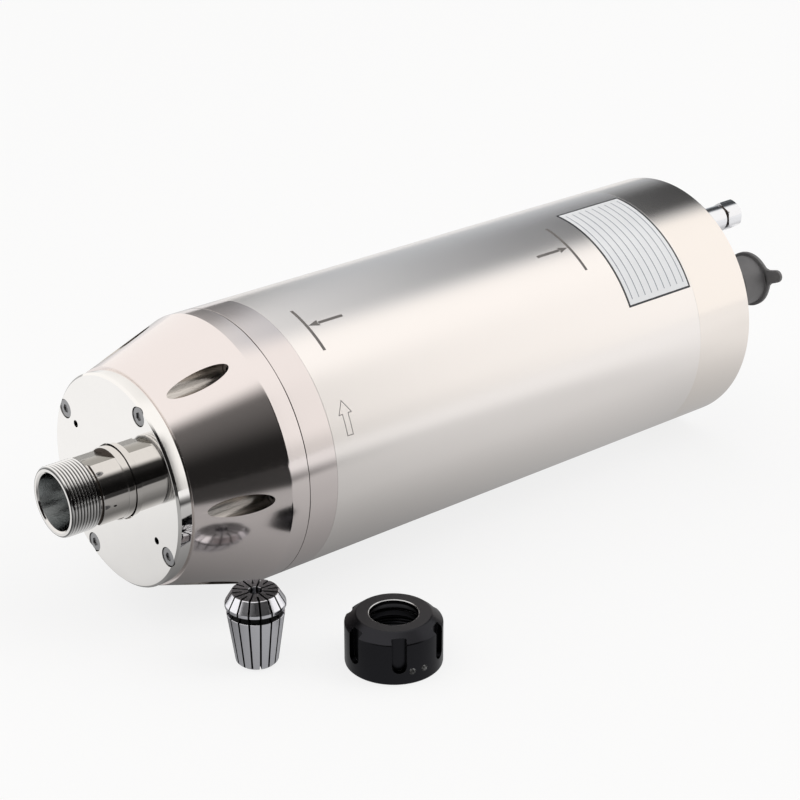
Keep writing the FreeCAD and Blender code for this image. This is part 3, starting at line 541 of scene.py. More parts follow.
def bent(geometry, x, radius, turn):
    """Move points to their place along the spindle axis, radius and turn."""
    y = maths("COSINE", turn) * (radius * -1.0)
    z = maths("SINE", turn) * radius
    place = wire(x.tree, "ShaderNodeCombineXYZ", x, y, z)
    return wire(x.tree, "GeometryNodeSetPosition", geometry, None, place)


def with_material(geometry, material):
    return wire(geometry.tree, "GeometryNodeSetMaterial", geometry, None, material)


def repeat_tree():
    """Copies of a piece round the spindle axis, or round a line parallel to it."""
    tree, given = new_tree("copies_round_axis", "Geometry", {
        "Piece": "Object", "Count": 4, "Circle Radius": 0.01, "First Turn": 0.0, "Turn Step": 1.0,
        "Centre": (0, 0, 0), "Material": "Material"})
    line = wire(tree, "GeometryNodeMeshLine", named={"Count": given["Count"], "Offset": (0, 0, 0)})
    turn = maths("MULTIPLY_ADD", wire(tree, "GeometryNodeInputIndex"), given["Turn Step"], given["First Turn"])
    y = maths("COSINE", turn) * given["Circle Radius"] * -1.0
    z = maths("SINE", turn) * given["Circle Radius"]
    arm = wire(tree, "ShaderNodeCombineXYZ", 0.0, y, z)
    place = wire(tree, "ShaderNodeVectorMath", arm, given["Centre"], operation="ADD")
    points = wire(tree, "GeometryNodeSetPosition", line, None, place)
    piece = wire(tree, "GeometryNodeObjectInfo", given["Piece"])["Geometry"]
    rotation = wire(tree, "ShaderNodeCombineXYZ", turn * -1.0, 0.0, 0.0)
    return closed(with_material(spread(points, piece, rotation), given["Material"]))


def thread_tree():
    """Closed sleeve with a V thread on its outside, or on its inside when Side is -1. It starts on the YZ
    plane and runs along +X. Its rows follow the helix, and both ends are bevelled."""
    tree, given = new_tree("threaded_sleeve", "Geometry", {
        "Side": 1.0, "Crest Radius": 0.016, "Back Radius": 0.014, "Depth": 0.0008, "Bevel": 0.0009,
        "Pitch": 0.0015, "Length": 0.0145, "Rows Per Turn": 10, "Turns": 12, "Columns": 129,
        "Material": "Material"})
    last = maths("MULTIPLY_ADD", given["Rows Per Turn"], given["Turns"], 2.0)
    grid = wire(tree, "GeometryNodeMeshGrid", 1.0, 1.0, last + 1.0, given["Columns"])
    along, across, _ = split(wire(tree, "GeometryNodeInputPosition"))
    share = across + 0.5
    row = maths("ROUND", (along + 0.5) * last)
    turns = maths("DIVIDE", row - 1.0, given["Rows Per Turn"])
    x = (turns - 1.0 + share) * given["Pitch"]
    x = clamped(x, given["Length"])
    first_row = maths("LESS_THAN", row, 0.5)
    last_row = maths("GREATER_THAN", row, last - 0.5)
    front = 1.0 - first_row - last_row
    x = maths("MAXIMUM", x * (1.0 - first_row), last_row * given["Length"])
    wave = maths("ABSOLUTE", maths("MULTIPLY_ADD", maths("FRACT", turns), 2.0, -1.0))
    wave = clamped(maths("MULTIPLY_ADD", wave, 1.3, -0.2), 1.0)
    crest = given["Crest Radius"] * given["Side"]
    slope = crest - given["Bevel"] + maths("MINIMUM", x, given["Length"] - x)
    height = maths("MINIMUM", crest - wave * given["Depth"], slope)
    radius = height * given["Side"] * front + given["Back Radius"] * (1.0 - front)
    sleeve = merged(bent(grid, x, radius, share * (2 * math.pi)))
    return closed(with_material(sleeve, given["Material"]))


def ruled_tree():
    """Thin curved strips on a cylinder about X, side by side along it."""
    tree, given = new_tree("curved_rules", "Geometry", {
        "Count": 8, "First X": 0.0, "Step": 0.004, "Width": 0.0005, "Radius": 0.0625, "First Turn": 0.5,
        "Turn Span": 1.0, "Lift": 0.00002, "Material": "Material"})
    cube = wire(tree, "GeometryNodeMeshCube", (1.0, 1.0, 1.0), 2, 41, 2)
    spacing = wire(tree, "ShaderNodeCombineXYZ", 2.0, 0.0, 0.0)
    strips = spread(wire(tree, "GeometryNodeMeshLine", named={"Count": given["Count"], "Offset": spacing}), cube)
    across, along, up = split(wire(tree, "GeometryNodeInputPosition"))
    number = maths("ROUND", maths("DIVIDE", across, 2.0))
    x = maths("MULTIPLY_ADD", number, given["Step"], given["First X"]) + (across - number * 2.0) * given["Width"]
    turn = maths("MULTIPLY_ADD", along + 0.5, given["Turn Span"], given["First Turn"])
    radius = maths("MULTIPLY_ADD", up, given["Lift"], given["Radius"])
    return closed(with_material(bent(strips, x, radius, turn), given["Material"]))


def clean_tree():
    """Shading for a solid that arrives as loose triangles: corners merged, edges past the crease sharp."""
    tree, given = new_tree("clean_shading", "Geometry", {"Geometry": "Geometry", "Crease": math.radians(30)})
    angle = wire(tree, "GeometryNodeInputMeshEdgeAngle")["Unsigned Angle"]
    flat = wire(tree, "FunctionNodeCompare", angle, given["Crease"], data_type="FLOAT", operation="LESS_EQUAL")
    faces = wire(tree, "GeometryNodeSetShadeSmooth", merged(given["Geometry"]), None, True, domain="FACE")
    return closed(wire(tree, "GeometryNodeSetShadeSmooth", faces, None, flat, domain="EDGE"))


copies_round_axis = repeat_tree()
threaded_sleeve = thread_tree()
curved_rules = ruled_tree()
clean_shading = clean_tree()


# Shader groups and materials

def grain_group():
    """Fine marks of a tool. Along stretches the pattern: a large value packs the marks along that axis."""
    tree, given = new_tree("tool_marks", "Shader", {"Along": (1000, 1000, 1000), "Contrast": 0.5})
    place = wire(tree, "ShaderNodeTexCoord")["Object"]
    place = wire(tree, "ShaderNodeVectorMath", place, given["Along"], operation="MULTIPLY")
    noise = wire(tree, "ShaderNodeTexNoise", named={"Vector": place, "Scale": 1.0, "Detail": 3.0})
    return closed(maths("MULTIPLY_ADD", noise - 0.5, given["Contrast"], 0.5), "Marks", "Float")


def clouds_group():
    """Soft uneven patches, as handling leaves on steel."""
    tree, given = new_tree("handling_patches", "Shader", {"Scale": 30.0, "Contrast": 1.0})
    place = wire(tree, "ShaderNodeTexCoord")["Object"]
    noise = wire(tree, "ShaderNodeTexNoise",
                 named={"Vector": place, "Scale": given["Scale"], "Detail": 4.0, "Roughness": 0.55})
    return closed(maths("MULTIPLY_ADD", noise - 0.5, given["Contrast"], 0.5), "Patches", "Float")


tool_marks = grain_group()
handling_patches = clouds_group()
# The frame's own materials have the same names, so the script's are kept apart here.
materials = {}


def surface(name, colour, metallic, roughness):
    """Material with one Principled shader, its constant values on the shader's own sockets."""
    material = materials[name] = bpy.data.materials.new(name)
    material.use_nodes = True
    material.diffuse_color = (*colour, 1)
    tree = material.node_tree
    shader = tree.nodes["Principled BSDF"]
    feed(shader, {"Base Color": (*colour, 1), "Metallic": metallic, "Roughness": roughness})
    return material, tree, shader


def pattern(tree, group, **values):
    return wire(tree, "ShaderNodeGroup", named=values, node_tree=group)


def dress(shader, colour, roughness, height, bump):
    dent = wire(height.tree, "ShaderNodeBump", named={"Strength": bump, "Distance": 0.0001, "Height": height})
    feed(shader, {"Base Color": colour, "Roughness": roughness, "Normal": dent})


def metal(name, low, high, roughness, along, bump=0.02, patches=0.5, marks=1.2):
    """Bare metal: colour between two tones, roughness between two values, and fine tool marks."""
    _, tree, shader = surface(name, high, 1.0, roughness[0])
    fine = pattern(tree, tool_marks, Along=along, Contrast=marks)
    cloud = pattern(tree, handling_patches, Scale=25.0, Contrast=patches * 2)
    both = fine * 0.5 + cloud * 0.5
    dress(shader, tinted(both, low, high), between(both, *roughness), fine, bump)


def moulded(name, low, high, roughness, grain_scale=3000.0, bump=0.1):
    """Rubber or resin: two close tones, a fine grain and soft patches."""
    _, tree, shader = surface(name, high, 0.0, roughness[0])
    fine = pattern(tree, tool_marks, Along=(grain_scale,) * 3, Contrast=1.0)
    cloud = pattern(tree, handling_patches, Scale=60.0, Contrast=1.5)
    dress(shader, tinted(cloud, low, high), between(fine, *roughness), fine, bump)


# Directions of the tool marks: rings round the spindle, rings round an upright axis, streaks along the
# spindle, plates of a stack, and none
ROUND_X = (9000, 120, 120)
ROUND_Z = (120, 120, 9000)
STREAKS = (200, 3000, 3000)
COARSE_STREAKS = (250, 1800, 1800)
PLATES = (2500, 60, 60)
EVEN = (4000, 4000, 4000)

# Each metal: two tones, two roughnesses, the direction of its marks
metal("brushed_tube", (0.91, 0.865, 0.835), (0.96, 0.915, 0.885), (0.20, 0.27), ROUND_X, patches=0.6)
metal("ground_ring", (0.77, 0.705, 0.685), (0.83, 0.76, 0.74), (0.10, 0.16), ROUND_X)
metal("polished_nose", (0.79, 0.725, 0.705), (0.85, 0.78, 0.76), (0.10, 0.16), ROUND_X)
metal("polished_flange", (0.87, 0.85, 0.83), (0.92, 0.90, 0.875), (0.03, 0.07), ROUND_X, bump=0.004)
metal("rear_ring_steel", (0.87, 0.81, 0.76), (0.93, 0.87, 0.82), (0.13, 0.20), ROUND_X)
metal("rear_plate", (0.62, 0.62, 0.62), (0.74, 0.74, 0.73), (0.25, 0.38), ROUND_X, bump=0.03)
metal("shaft_steel", (0.72, 0.70, 0.68), (0.82, 0.80, 0.78), (0.04, 0.07), ROUND_X, bump=0.0)
metal("seat_steel", (0.50, 0.51, 0.51), (0.62, 0.63, 0.63), (0.12, 0.18), ROUND_X, bump=0.002)
metal("flat_steel", (0.33, 0.32, 0.30), (0.42, 0.41, 0.385), (0.18, 0.26), STREAKS, bump=0.01)
metal("milled_steel", (0.38, 0.345, 0.315), (0.84, 0.79, 0.74), (0.24, 0.36), COARSE_STREAKS, bump=0.05, marks=2.0)
# seam_grime: near-black metal given to seam bevels, grooves, wall faces and necks, as painted shade where shadow
# falls between parts
metal("seam_grime", (0.07, 0.055, 0.045), (0.14, 0.115, 0.10), (0.4, 0.6), EVEN)
metal("thread_steel", (0.80, 0.79, 0.78), (0.90, 0.89, 0.88), (0.10, 0.16), ROUND_X, bump=0.0)
metal("screw_steel", (0.26, 0.26, 0.265), (0.38, 0.38, 0.385), (0.28, 0.42), EVEN)
metal("bearing_steel", (0.66, 0.66, 0.68), (0.76, 0.76, 0.78), (0.08, 0.16), ROUND_X)
metal("jacket_aluminium", (0.66, 0.67, 0.69), (0.78, 0.79, 0.81), (0.25, 0.4), ROUND_X)
metal("lamination_steel", (0.22, 0.22, 0.24), (0.34, 0.34, 0.36), (0.4, 0.6), PLATES)
metal("fitting_nickel", (0.83, 0.83, 0.85), (0.90, 0.90, 0.92), (0.14, 0.20), EVEN, bump=0.005)
metal("pin_brass", (0.70, 0.52, 0.22), (0.85, 0.66, 0.32), (0.15, 0.25), EVEN)
metal("collet_steel", (0.80, 0.80, 0.84), (0.93, 0.93, 0.98), (0.20, 0.30), ROUND_Z, bump=0.01)
metal("slit_black", (0.012, 0.012, 0.012), (0.03, 0.03, 0.03), (0.5, 0.7), EVEN)
metal("black_nut", (0.021, 0.021, 0.024), (0.043, 0.043, 0.048), (0.24, 0.36), EVEN)
metal("worn_black", (0.10, 0.10, 0.105), (0.20, 0.20, 0.21), (0.26, 0.38), EVEN)
metal("drilled_steel", (0.55, 0.55, 0.55), (0.75, 0.75, 0.75), (0.20, 0.30), EVEN)
moulded("cap_rubber", (0.15, 0.147, 0.15), (0.19, 0.187, 0.19), (0.5, 0.65))
moulded("seal_rubber", (0.02, 0.02, 0.02), (0.035, 0.035, 0.035), (0.45, 0.6))
moulded("connector_resin", (0.025, 0.025, 0.027), (0.05, 0.05, 0.053), (0.35, 0.5))
moulded("cage_resin", (0.42, 0.27, 0.11), (0.58, 0.40, 0.18), (0.4, 0.55))
moulded("winding_varnish", (0.22, 0.07, 0.03), (0.40, 0.16, 0.08), (0.2, 0.35), 1500.0, 0.4)
moulded("wire_sleeve", (0.40, 0.04, 0.03), (0.55, 0.07, 0.05), (0.4, 0.55))
moulded("etched_mark", (0.13, 0.12, 0.115), (0.21, 0.195, 0.185), (0.5, 0.65))
moulded("plate_film", (0.91, 0.925, 0.955), (0.95, 0.96, 0.98), (0.10, 0.16), bump=0.01)
moulded("plate_ink", (0.02, 0.02, 0.025), (0.05, 0.05, 0.055), (0.2, 0.3))
moulded("rule_ink", (0.26, 0.28, 0.33), (0.38, 0.40, 0.45), (0.2, 0.3))


def paint_shade_in_thread_roots():
    """Darken the roots of the nose thread towards their bottom, as painted shade."""
    tree = materials["thread_steel"].node_tree
    shader = tree.nodes["Principled BSDF"]
    bare = Out(tree, shader.inputs["Base Color"].links[0].from_node, 2)
    y, z = split(wire(tree, "ShaderNodeTexCoord")["Object"])[1:]
    radius = maths("SQRT", maths("MULTIPLY_ADD", z, z, y * y))
    # Full colour near the crest, fading to dark grey towards the root: painted shade.
    out_of_root_shade = step_up(radius, (thread_r - thread_depth) * MM, (thread_r - 0.15) * MM)
    feed(shader, {"Base Color": tinted(out_of_root_shade, (0.10, 0.10, 0.10), bare)})


paint_shade_in_thread_roots()


# Pieces on bodies

def with_materials(obj, *names):
    for name in names:
        obj.data.materials.append(materials[name])
    return obj


def finish(obj, material, *replaced, body="housing", slot=""):
    """Give a piece its material, its body and the solids it replaces.
    The slot argument is not used."""
    if not obj.data.materials:
        with_materials(obj, material)
    obj.data.materials[0] = materials[material]
    if slot is not None:
        slot = slot or material
    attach(obj, body)
    if replaced:
        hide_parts(*replaced)


def cap_screw(name, size, grip):
    """Socket screw along +X with its head face on the YZ plane."""
    head_r, head_len, shank_r, across, depth = size
    outline = rounded([(0, 0), (0, head_r, 0.5), (head_len, head_r, 0.1), (head_len, shank_r, 0),
                       (head_len + grip, shank_r, 0.4), (head_len + grip, 0)])
    screw = lathe(name, outline, SMALL_SIDES)
    combined(screw, [hexagon("socket", across, -CUT_PAST, depth)])
    return smooth(screw)


def ring_of(name, piece, count, circle_r, turn, turn_step, material, x=0.0):
    """Copies of a piece round the spindle axis. The piece itself goes."""
    ring = run_tree(name, copies_round_axis, {
        "Piece": piece, "Count": count, "First Turn": math.radians(turn), "Turn Step": turn_step,
        "Centre": (x * MM, 0, 0), "Material": materials[material],
    }, {"Circle Radius": circle_r})
    bpy.data.objects.remove(piece)
    return ring


def screw_ring(name, node, size, grip, x, count, circle_r, turn, rear=False):
    """One group of like screws, with the heads' faces at x."""
    screw = cap_screw("screw_pattern", size, grip)
    if rear:
        turned(screw, 180, "Z")
    ring = ring_of(name, screw, count, circle_r, turn, 2 * math.pi / count, "screw_steel", x)
    finish(ring, "screw_steel", node)


def threaded(name, lengths, rows, columns, material, side=1.0):
    """Thread sleeve of eleven turns from lengths in millimetres."""
    thread = run_tree(name, threaded_sleeve, {
        "Side": side, "Rows Per Turn": rows, "Turns": 11, "Columns": columns, "Material": materials[material],
    }, {**lengths, "Pitch": thread_pitch})
    thread.data.shade_smooth()
    thread.data.set_sharp_from_angle(angle=math.radians(50))
    return thread


def round_cutters(count, circle_r, turn, radius, x0, x1):
    step = 360 / count
    return [rod("cutter", radius, x0, x1, polar(circle_r, turn + step * i)) for i in range(count)]


def housing_tube():
    x0, x1 = tube_low.x, tube_high.x
    outline = rounded([(x0, body_r - tube_wall), (x0, body_r, 0.1), (x1, body_r, 0.05), (x1, body_r - tube_wall)])
    finish(smooth(lathe("tube", outline)), "brushed_tube", "housing_tube")


def front_ring():
    x0, x1 = ring_x0, tube_low.x
    spigot_x1 = span("front_ring")[1].x
    outline = rounded([(x0, barrel_r), (x0, body_r), (x1, body_r, 0.15), (x1, body_r - tube_wall),
                       (spigot_x1, body_r - tube_wall), (spigot_x1, barrel_r)], seam_bevel)
    ring = with_materials(lathe("front_ring_band", outline), "ground_ring", "seam_grime")
    # The bevel faces at the seams take the dark second material: painted shade in the joint.
    painted(ring, 1, lambda x, r, n: r > body_r - 0.4 and abs(n.x) > 0.2)
    finish(smooth(ring), "ground_ring", "front_ring")


def nose_cone():
    """Taper nose with six recesses that break out through it, each with its screw at the bottom."""
    outline = rounded([
        (cone_x0, bearing_r), (cone_x0, nose_front_r, 0.2), (nose_edge_x, body_r, 0.5), (ring_x0, body_r, 0.45),
        (ring_x0, barrel_r), (front_spigot_x1, barrel_r), (front_spigot_x1, land_r), (outer_rings_x1, land_r),
        (outer_rings_x1, bearing_r),
    ])
    cone = with_materials(lathe("taper_nose", outline), "polished_nose", "milled_steel", "seam_grime")
    # The rear edge at the seam takes the dark third material: painted shade in the joint.
    painted(cone, 2, lambda x, r, n: x > ring_x0 - seam_bevel and r > body_r - 0.5 and n.x > 0.2)
    head_r, head_len, shank_r = m5_screw[:3]
    cutters = round_cutters(6, cone_screw_r, cone_screw_turn, head_r + head_gap, cone_x0 - CUT_PAST, cone_seat_x)
    combined(cone, cutters, material=1)
    combined(cone, round_cutters(4, flange_screw_r, flange_screw_turn, shank_r, cone_x0 - CUT_PAST, cone_x0 + 14))
    bevelled(cone, 0.12, 2, limit=40)
    finish(smooth(cone), "polished_nose", "nose_cone")
    screw_ring("nose_screws", "cone_screws", m5_screw, 20.0, cone_seat_x - head_len, 6, cone_screw_r, cone_screw_turn)


def nose_flange():
    """Polished bearing cover with four sunk screws and two puller holes."""
    outline = rounded([
        (flange_x0, flange_hole_r, 0.3), (flange_x0, flange_r - flange_bevel, 0.15),
        (flange_x0 + flange_bevel, flange_r, 0.15), (cone_x0, flange_r), (cone_x0, bearing_r),
        (flange_spigot_x1, bearing_r), (flange_spigot_x1, land_r), (flange_spigot_x1 - 1, land_r),
        (flange_spigot_x1 - 1, flange_pocket_r), (flange_pocket_x, flange_pocket_r), (flange_pocket_x, flange_hole_r),
    ])
    flange = lathe("flange_plate", outline)
    head_r = m5_screw[0]
    start = flange_x0 - CUT_PAST
    cutters = round_cutters(4, flange_screw_r, flange_screw_turn, head_r + head_gap, start, flange_x0 + 5)
    cutters += round_cutters(2, puller_circle_r, puller_turn, puller_hole_r, start, flange_x0 + 6)
    combined(flange, cutters)
    bevelled(flange, 0.15, 2, limit=40)
    finish(smooth(flange), "polished_flange", "nose_flange")
    screw_ring("flange_socket_screws", "flange_screws", flange_screw, 15.0, flange_head_x, 4,
               flange_screw_r, flange_screw_turn)


def rear_housing():
    """Rear ring with its rim, and the web and bearing barrel behind it."""
    x0, x1 = tube_high.x, rear_high.x
    outline = rounded([
        (rear_low.x, rear_lip_r), (rear_low.x, rear_barrel_r), (x0 - 12, rear_barrel_r),
        (x0 - 12, body_r - tube_wall), (x0, body_r - tube_wall), (x0, body_r, 0.05), (x1, body_r, 0.6),
        (x1, cover_r), (cover_low.x, cover_r), (cover_low.x, rear_pocket_r), (x0 + 15, rear_pocket_r),
        (x0 + 15, rear_bore_r), (rear_low.x + 4, rear_bore_r), (rear_low.x + 4, rear_lip_r),
    ])
    finish(smooth(lathe("rear_ring", outline)), "rear_ring_steel", "rear_housing")


def rear_cover():
    x0, x1 = cover_low.x, cover_high.x
    cover = lathe("rear_cover_plate", rounded([(x0, 0), (x0, cover_r), (x1, cover_r, 0.4), (x1, 0)]))
    head_r, head_len = m4_screw[:2]
    cutters = round_cutters(6, cover_screw_r, cover_screw_turn, head_r + head_gap, x1 - head_len, x1 + CUT_PAST)
    cutters += round_cutters(1, connector_circle_r, connector_turn, 8.6, x0 - CUT_PAST, x1 + CUT_PAST)
    combined(cover, cutters)
    finish(smooth(cover), "rear_plate", "rear_cover")
    screw_ring("rear_cover_socket_screws", "rear_cover_screws", m4_screw, 12.5, x1, 6, cover_screw_r,
               cover_screw_turn, rear=True)


def spindle_shaft():
    """Ground shaft: tapered seat, wrench flats and collar at the nose, journals and rotor seat inside."""
    thread_x1 = shaft_x0 + thread_len
    flats_x1 = thread_x1 + flats_len
    seat_x1 = shaft_x0 + seat_len
    relief_x1 = seat_x1 + relief_len
    corners = [
        (shaft_x0 + mouth_bevel, seat_r - 0.1, 0.1), (shaft_x0, seat_r + mouth_bevel, 0.1), (shaft_x0, groove_r, 0),
        (thread_x1 + groove_len, groove_r), (thread_x1 + groove_len, thread_r), (flats_x1, thread_r, 0.1),
        (flats_x1, collar_r, 0.3),
    ]
    for x, radius in (*journals, (span("spindle_shaft")[1].x, 0)):
        corners += [(x, corners[-1][1]), (x, radius)]
    corners += [(relief_x1 + relief_point, 0), (relief_x1, relief_r), (seat_x1, relief_r),
                (seat_x1, seat_r - seat_slope * seat_len)]
    shaft = lathe("shaft", rounded(corners), 192)
    with_materials(shaft, "shaft_steel", "seat_steel", "flat_steel", "seam_grime")
    painted(shaft, 1, lambda x, r, n: x < relief_x1 + relief_point and r < seat_r - 0.15)
    # The run-out groove behind the thread takes the dark fourth material: painted shade.
    painted(shaft, 3, lambda x, r, n: 0 < x - thread_x1 < groove_len + 0.1 and groove_r - 0.1 < r < thread_r - 0.2)
    corner, opposite = (thread_x1, -2 * collar_r, -collar_r), (flats_x1, -flats_across / 2, collar_r)
    combined(shaft, [turned(block("flat", corner, opposite), flats_turn + turn) for turn in (90, 270)], material=2)
    # The end walls of the flats take the dark fourth material: painted shade.
    painted(shaft, 3, lambda x, r, n: n.x < -0.9 and abs(x - flats_x1) < 0.1 and r < thread_r - 0.1)
    bevelled(shaft, 0.15, 2, limit=40)
    finish(smooth(shaft), "shaft_steel", "spindle_shaft", body="rotor")
    thread = threaded("nose_thread", {
        "Crest Radius": thread_r, "Back Radius": groove_r, "Depth": thread_depth, "Bevel": 0.9, "Length": thread_len,
    }, 10, 145, "thread_steel")
    shifted(thread, Vector((shaft_x0, 0, 0)))
    finish(thread, "thread_steel", body="rotor", slot="shaft_steel")


def water_fittings():
    """Two screwed fittings with a hexagon foot, a round barrel, a neck and a rounded hexagon nut."""
    x0 = cover_high.x
    nut_x0, nut_x1 = fitting_nut_low.x, fitting_nut_high.x
    stub_x1 = fitting_high.x
    hose_x0 = nut_x1 - 13.0
    outline = rounded([
        (fitting_hex_x1 - 1, 3.0), (fitting_hex_x1 - 1, 5.5), (fitting_hex_x1, 5.5, 0),
        (fitting_hex_x1, fitting_barrel_r, 0.5), (nut_x0 - 1, fitting_barrel_r, 0.5), (nut_x0 - 1, fitting_neck_r, 0),
        (nut_x0, fitting_neck_r, 0), (nut_x0, 5.0, 0), (stub_x1, 5.0), (stub_x1, hose_r), (hose_x0, hose_r),
        (hose_x0, 3.0),
    ])
    barrel = smooth(lathe("barrel", outline, 96))
    foot = hexagon("foot", fitting_hex_across, x0, fitting_hex_x1)
    bevelled(foot, 0.4, 3, limit=20)
    stem = rod("stem", 4.9, x0 - 7, x0)
    body = joined("fitting_pattern", [barrel, smooth(foot), smooth(stem)])
    places = (2, fitting_circle_r, fitting_turn, math.pi / 2, "fitting_nickel")
    bodies = with_materials(ring_of("water_fitting_bodies", body, *places), "seam_grime")
    # The neck under each fitting nut takes the dark last material: painted shade.
    painted(bodies, len(bodies.data.materials) - 1, lambda x, r, n: nut_x0 - 0.9 < x < nut_x0 - 0.1)
    finish(bodies, "fitting_nickel", "water_fittings")
    corner_r = fitting_nut_across / math.sqrt(3)
    nut = hexagon("nut_pattern", fitting_nut_across, nut_x0, nut_x1)
    dome = lathe("dome", rounded([
        (nut_x0, 0), (nut_x0, corner_r - 0.1, 0.5), (nut_x1 - fitting_nut_round, corner_r + 0.2, 1.2),
        (nut_x1, fitting_nut_across / 2 - 0.7, 0.8), (nut_x1, 0)], steps=5), 96)
    combined(nut, [dome], "INTERSECT")
    combined(nut, [rod("bore", hose_r, nut_x0 - CUT_PAST, nut_x1 + CUT_PAST)])
    bevelled(nut, 0.25, 3, limit=25)
    finish(ring_of("water_hose_nuts", smooth(nut), *places), "fitting_nickel", "water_fitting_nuts")


def connector_cap():
    """Rubber cap: a disc with a raised face, a skirt over the connector, and a pull tab."""
    face_x = cap_high.x
    plate_x0 = face_x - 3.0
    skirt_x0 = cap_low.x
    shell_r = 11.2
    outline = rounded([
        (skirt_x0, shell_r + 0.1), (skirt_x0, cap_face_r, 0.6), (plate_x0, cap_face_r, 0),
        (plate_x0, cap_plate_r, 0.5), (face_x - 0.9, cap_plate_r, 0.7), (face_x - 0.9, cap_face_r + 0.5, 0),
        (face_x - 1.3, cap_face_r + 0.25, 0), (face_x - 0.9, cap_face_r, 0), (face_x, cap_face_r - 0.2, 0.7),
        (face_x, 0), (plate_x0, 0), (plate_x0, shell_r + 0.1),
    ], steps=4)
    cap = lathe("cap_disc", outline, 128)
    tab_centre = cap_tab_reach - cap_tab_w / 2
    neck = [(-cap_plate_r * 0.88, -7.2), (-cap_plate_r * 0.98, -4.6), (-cap_plate_r * 1.12, -3.5)]
    tip = [(-tab_centre - cap_tab_w / 2 * math.sin(math.radians(a)), -cap_tab_w / 2 * math.cos(math.radians(a)))
           for a in range(0, 181, 15)]
    side = neck + tip + [(u, -v) for u, v in reversed(neck)]
    tab = extruded("tab", side, plate_x0, plate_x0 + cap_tab_len, along_x)
    bevelled(tab, 0.5, 3, limit=30)
    cap = joined("rubber_cap", [smooth(cap), smooth(tab)])
    turned(cap, connector_turn)
    shifted(cap, polar(connector_circle_r, connector_turn))
    finish(cap, "cap_rubber", "connector_cap", body="connector_cap")


def foot_and_height(low, high):
    """Centre of the foot of a piece that stands on the floor, and its height."""
    centre = (low + high) / 2
    centre.z = low.z
    return centre, high.z - low.z


def collet():
    """Spring collet with slits from both ends, groove, clamping head and taper."""
    centre, height = foot_and_height(collet_low, collet_high)
    outer_r = (collet_high.x - collet_low.x) / 2
    taper_top = 24.2
    groove_top = taper_top + 3
    head_z = taper_top + 4.6
    top_r = outer_r - 0.6
    foot_r = top_r - seat_slope * (taper_top - 1.2)
    groove_floor_r = 11.4
    hollow_r = 5.0
    hollow_top = height - 20
    face_r = 10.0
    body = lathe("spring_collet", rounded([
        (0, hollow_r), (0, foot_r - 1.2, 0.2), (1.2, foot_r, 0.3), (taper_top, top_r, 0.3),
        (taper_top, groove_floor_r), (groove_top, groove_floor_r), (groove_top, outer_r, 0.25),
        (head_z, outer_r, 0.3), (height, face_r, 0.3), (height, collet_bore_r, 0.3),
        (hollow_top, collet_bore_r), (hollow_top, hollow_r),
    ], 0.15), 192, upright)
    with_materials(body, "collet_steel", "slit_black")
    # The groove faces, and below the slit walls, take the near-black second material: painted shade.
    painted(body, 1, lambda z, r, n: r < outer_r - 1.2 and taper_top < z < groove_top, axis=2)
    for i in range(slit_pairs):
        for start, inner_r, turn in ((slit_stop, 0.0, 0.0), (-CUT_PAST, slit_web_r, 180 / slit_pairs)):
            slit = block("slit", (inner_r, -slit_w / 2, start), (outer_r + CUT_PAST, slit_w / 2, height + CUT_PAST))
            combined(body, [turned(slit, turn + 360 * i / slit_pairs, "Z")], material=1)
    turned(body, collet_turn, "Z")
    shifted(body, centre)
    smooth(body, (0, 0, 1), centre)
    finish(body, "collet_steel", "collet", body="collet")


def stadium(half_w, base, top):
    """Outline of a slot with a round foot, in width and height."""
    foot = [(-half_w * math.cos(math.radians(a)), base + half_w - half_w * math.sin(math.radians(a)))
            for a in range(0, 181, 12)]
    return foot + [(half_w, top), (-half_w, top)]


def collet_nut():
    """Black nut with six hook-wrench slots, two balance dimples and a thread inside."""
    centre, height = foot_and_height(nut_low, nut_high)
    sleeve_r = nut_thread_r + 0.9
    body = lathe("clamping_nut", rounded([
        (0, sleeve_r), (0, nut_r, 0.9), (19.0, nut_r, 0.5), (height, 16.2, 0.5),
        (height, nut_opening_r + 0.3, 0.05), (height - 0.25, nut_opening_r, 0.05), (21.0, nut_opening_r, 0.2),
        (17.0, 12.8, 0.1), (17.0, nut_lip_r, 0.1), (nut_thread_len, nut_lip_r, 0.1), (nut_thread_len, sleeve_r, 0),
    ]), 192, upright)
    cutters = []
    for i in range(6):
        slot = extruded("slot", stadium(slot_w / 2, slot_base, height + CUT_PAST), slot_floor_r, nut_r + 2, along_x)
        cutters.append(turned(slot, 60 * i + nut_turn, "Z"))
    for turn in dimple_turns:
        dimple = rod("dimple", dimple_r, nut_r - 2.0, nut_r + CUT_PAST, Vector((0, 0, dimple_height)), 32)
        cutters.append(turned(dimple, turn, "Z"))
    with_materials(body, "black_nut", "worn_black", "drilled_steel")
    # The rim of the opening takes the bright third material: a painted highlight. The dimples below get it as bare
    # drilled steel.
    painted(body, 2, lambda z, r, n: z > height - 0.3 and r < nut_opening_r + 0.4, axis=2)
    combined(body, cutters[:6])
    combined(body, cutters[6:], material=2)
    # The bevelled edges take the lighter second material: wear, and a painted highlight along the edges.
    bevelled(body, 0.35, 3, material=1, limit=38)
    shifted(body, centre)
    smooth(body, (0, 0, 1), centre)
    finish(body, "black_nut", "collet_nut", body="collet_nut")
    thread = threaded("nut_thread", {
        "Crest Radius": nut_thread_r, "Back Radius": sleeve_r, "Depth": 0.8, "Bevel": 0.85, "Length": nut_thread_len,
    }, 8, 129, "black_nut", side=-1.0)
    turned(thread, -90, "Y")
    shifted(thread, centre)
    thread.data.flip_normals()
    finish(thread, "black_nut", body="collet_nut")


# Marks on the tube

def wrapped(name, outline, steps=1):
    """Thin patch over the tube from an outline of (x, turn) corners, each side in this many steps."""
    points = []
    for here, after in zip(outline, outline[1:] + outline[:1]):
        points += [tuple(a + (b - a) * k / steps for a, b in zip(here, after)) for k in range(steps)]
    return extruded(name, points, body_r - mark_lift, body_r + mark_lift, on_tube)


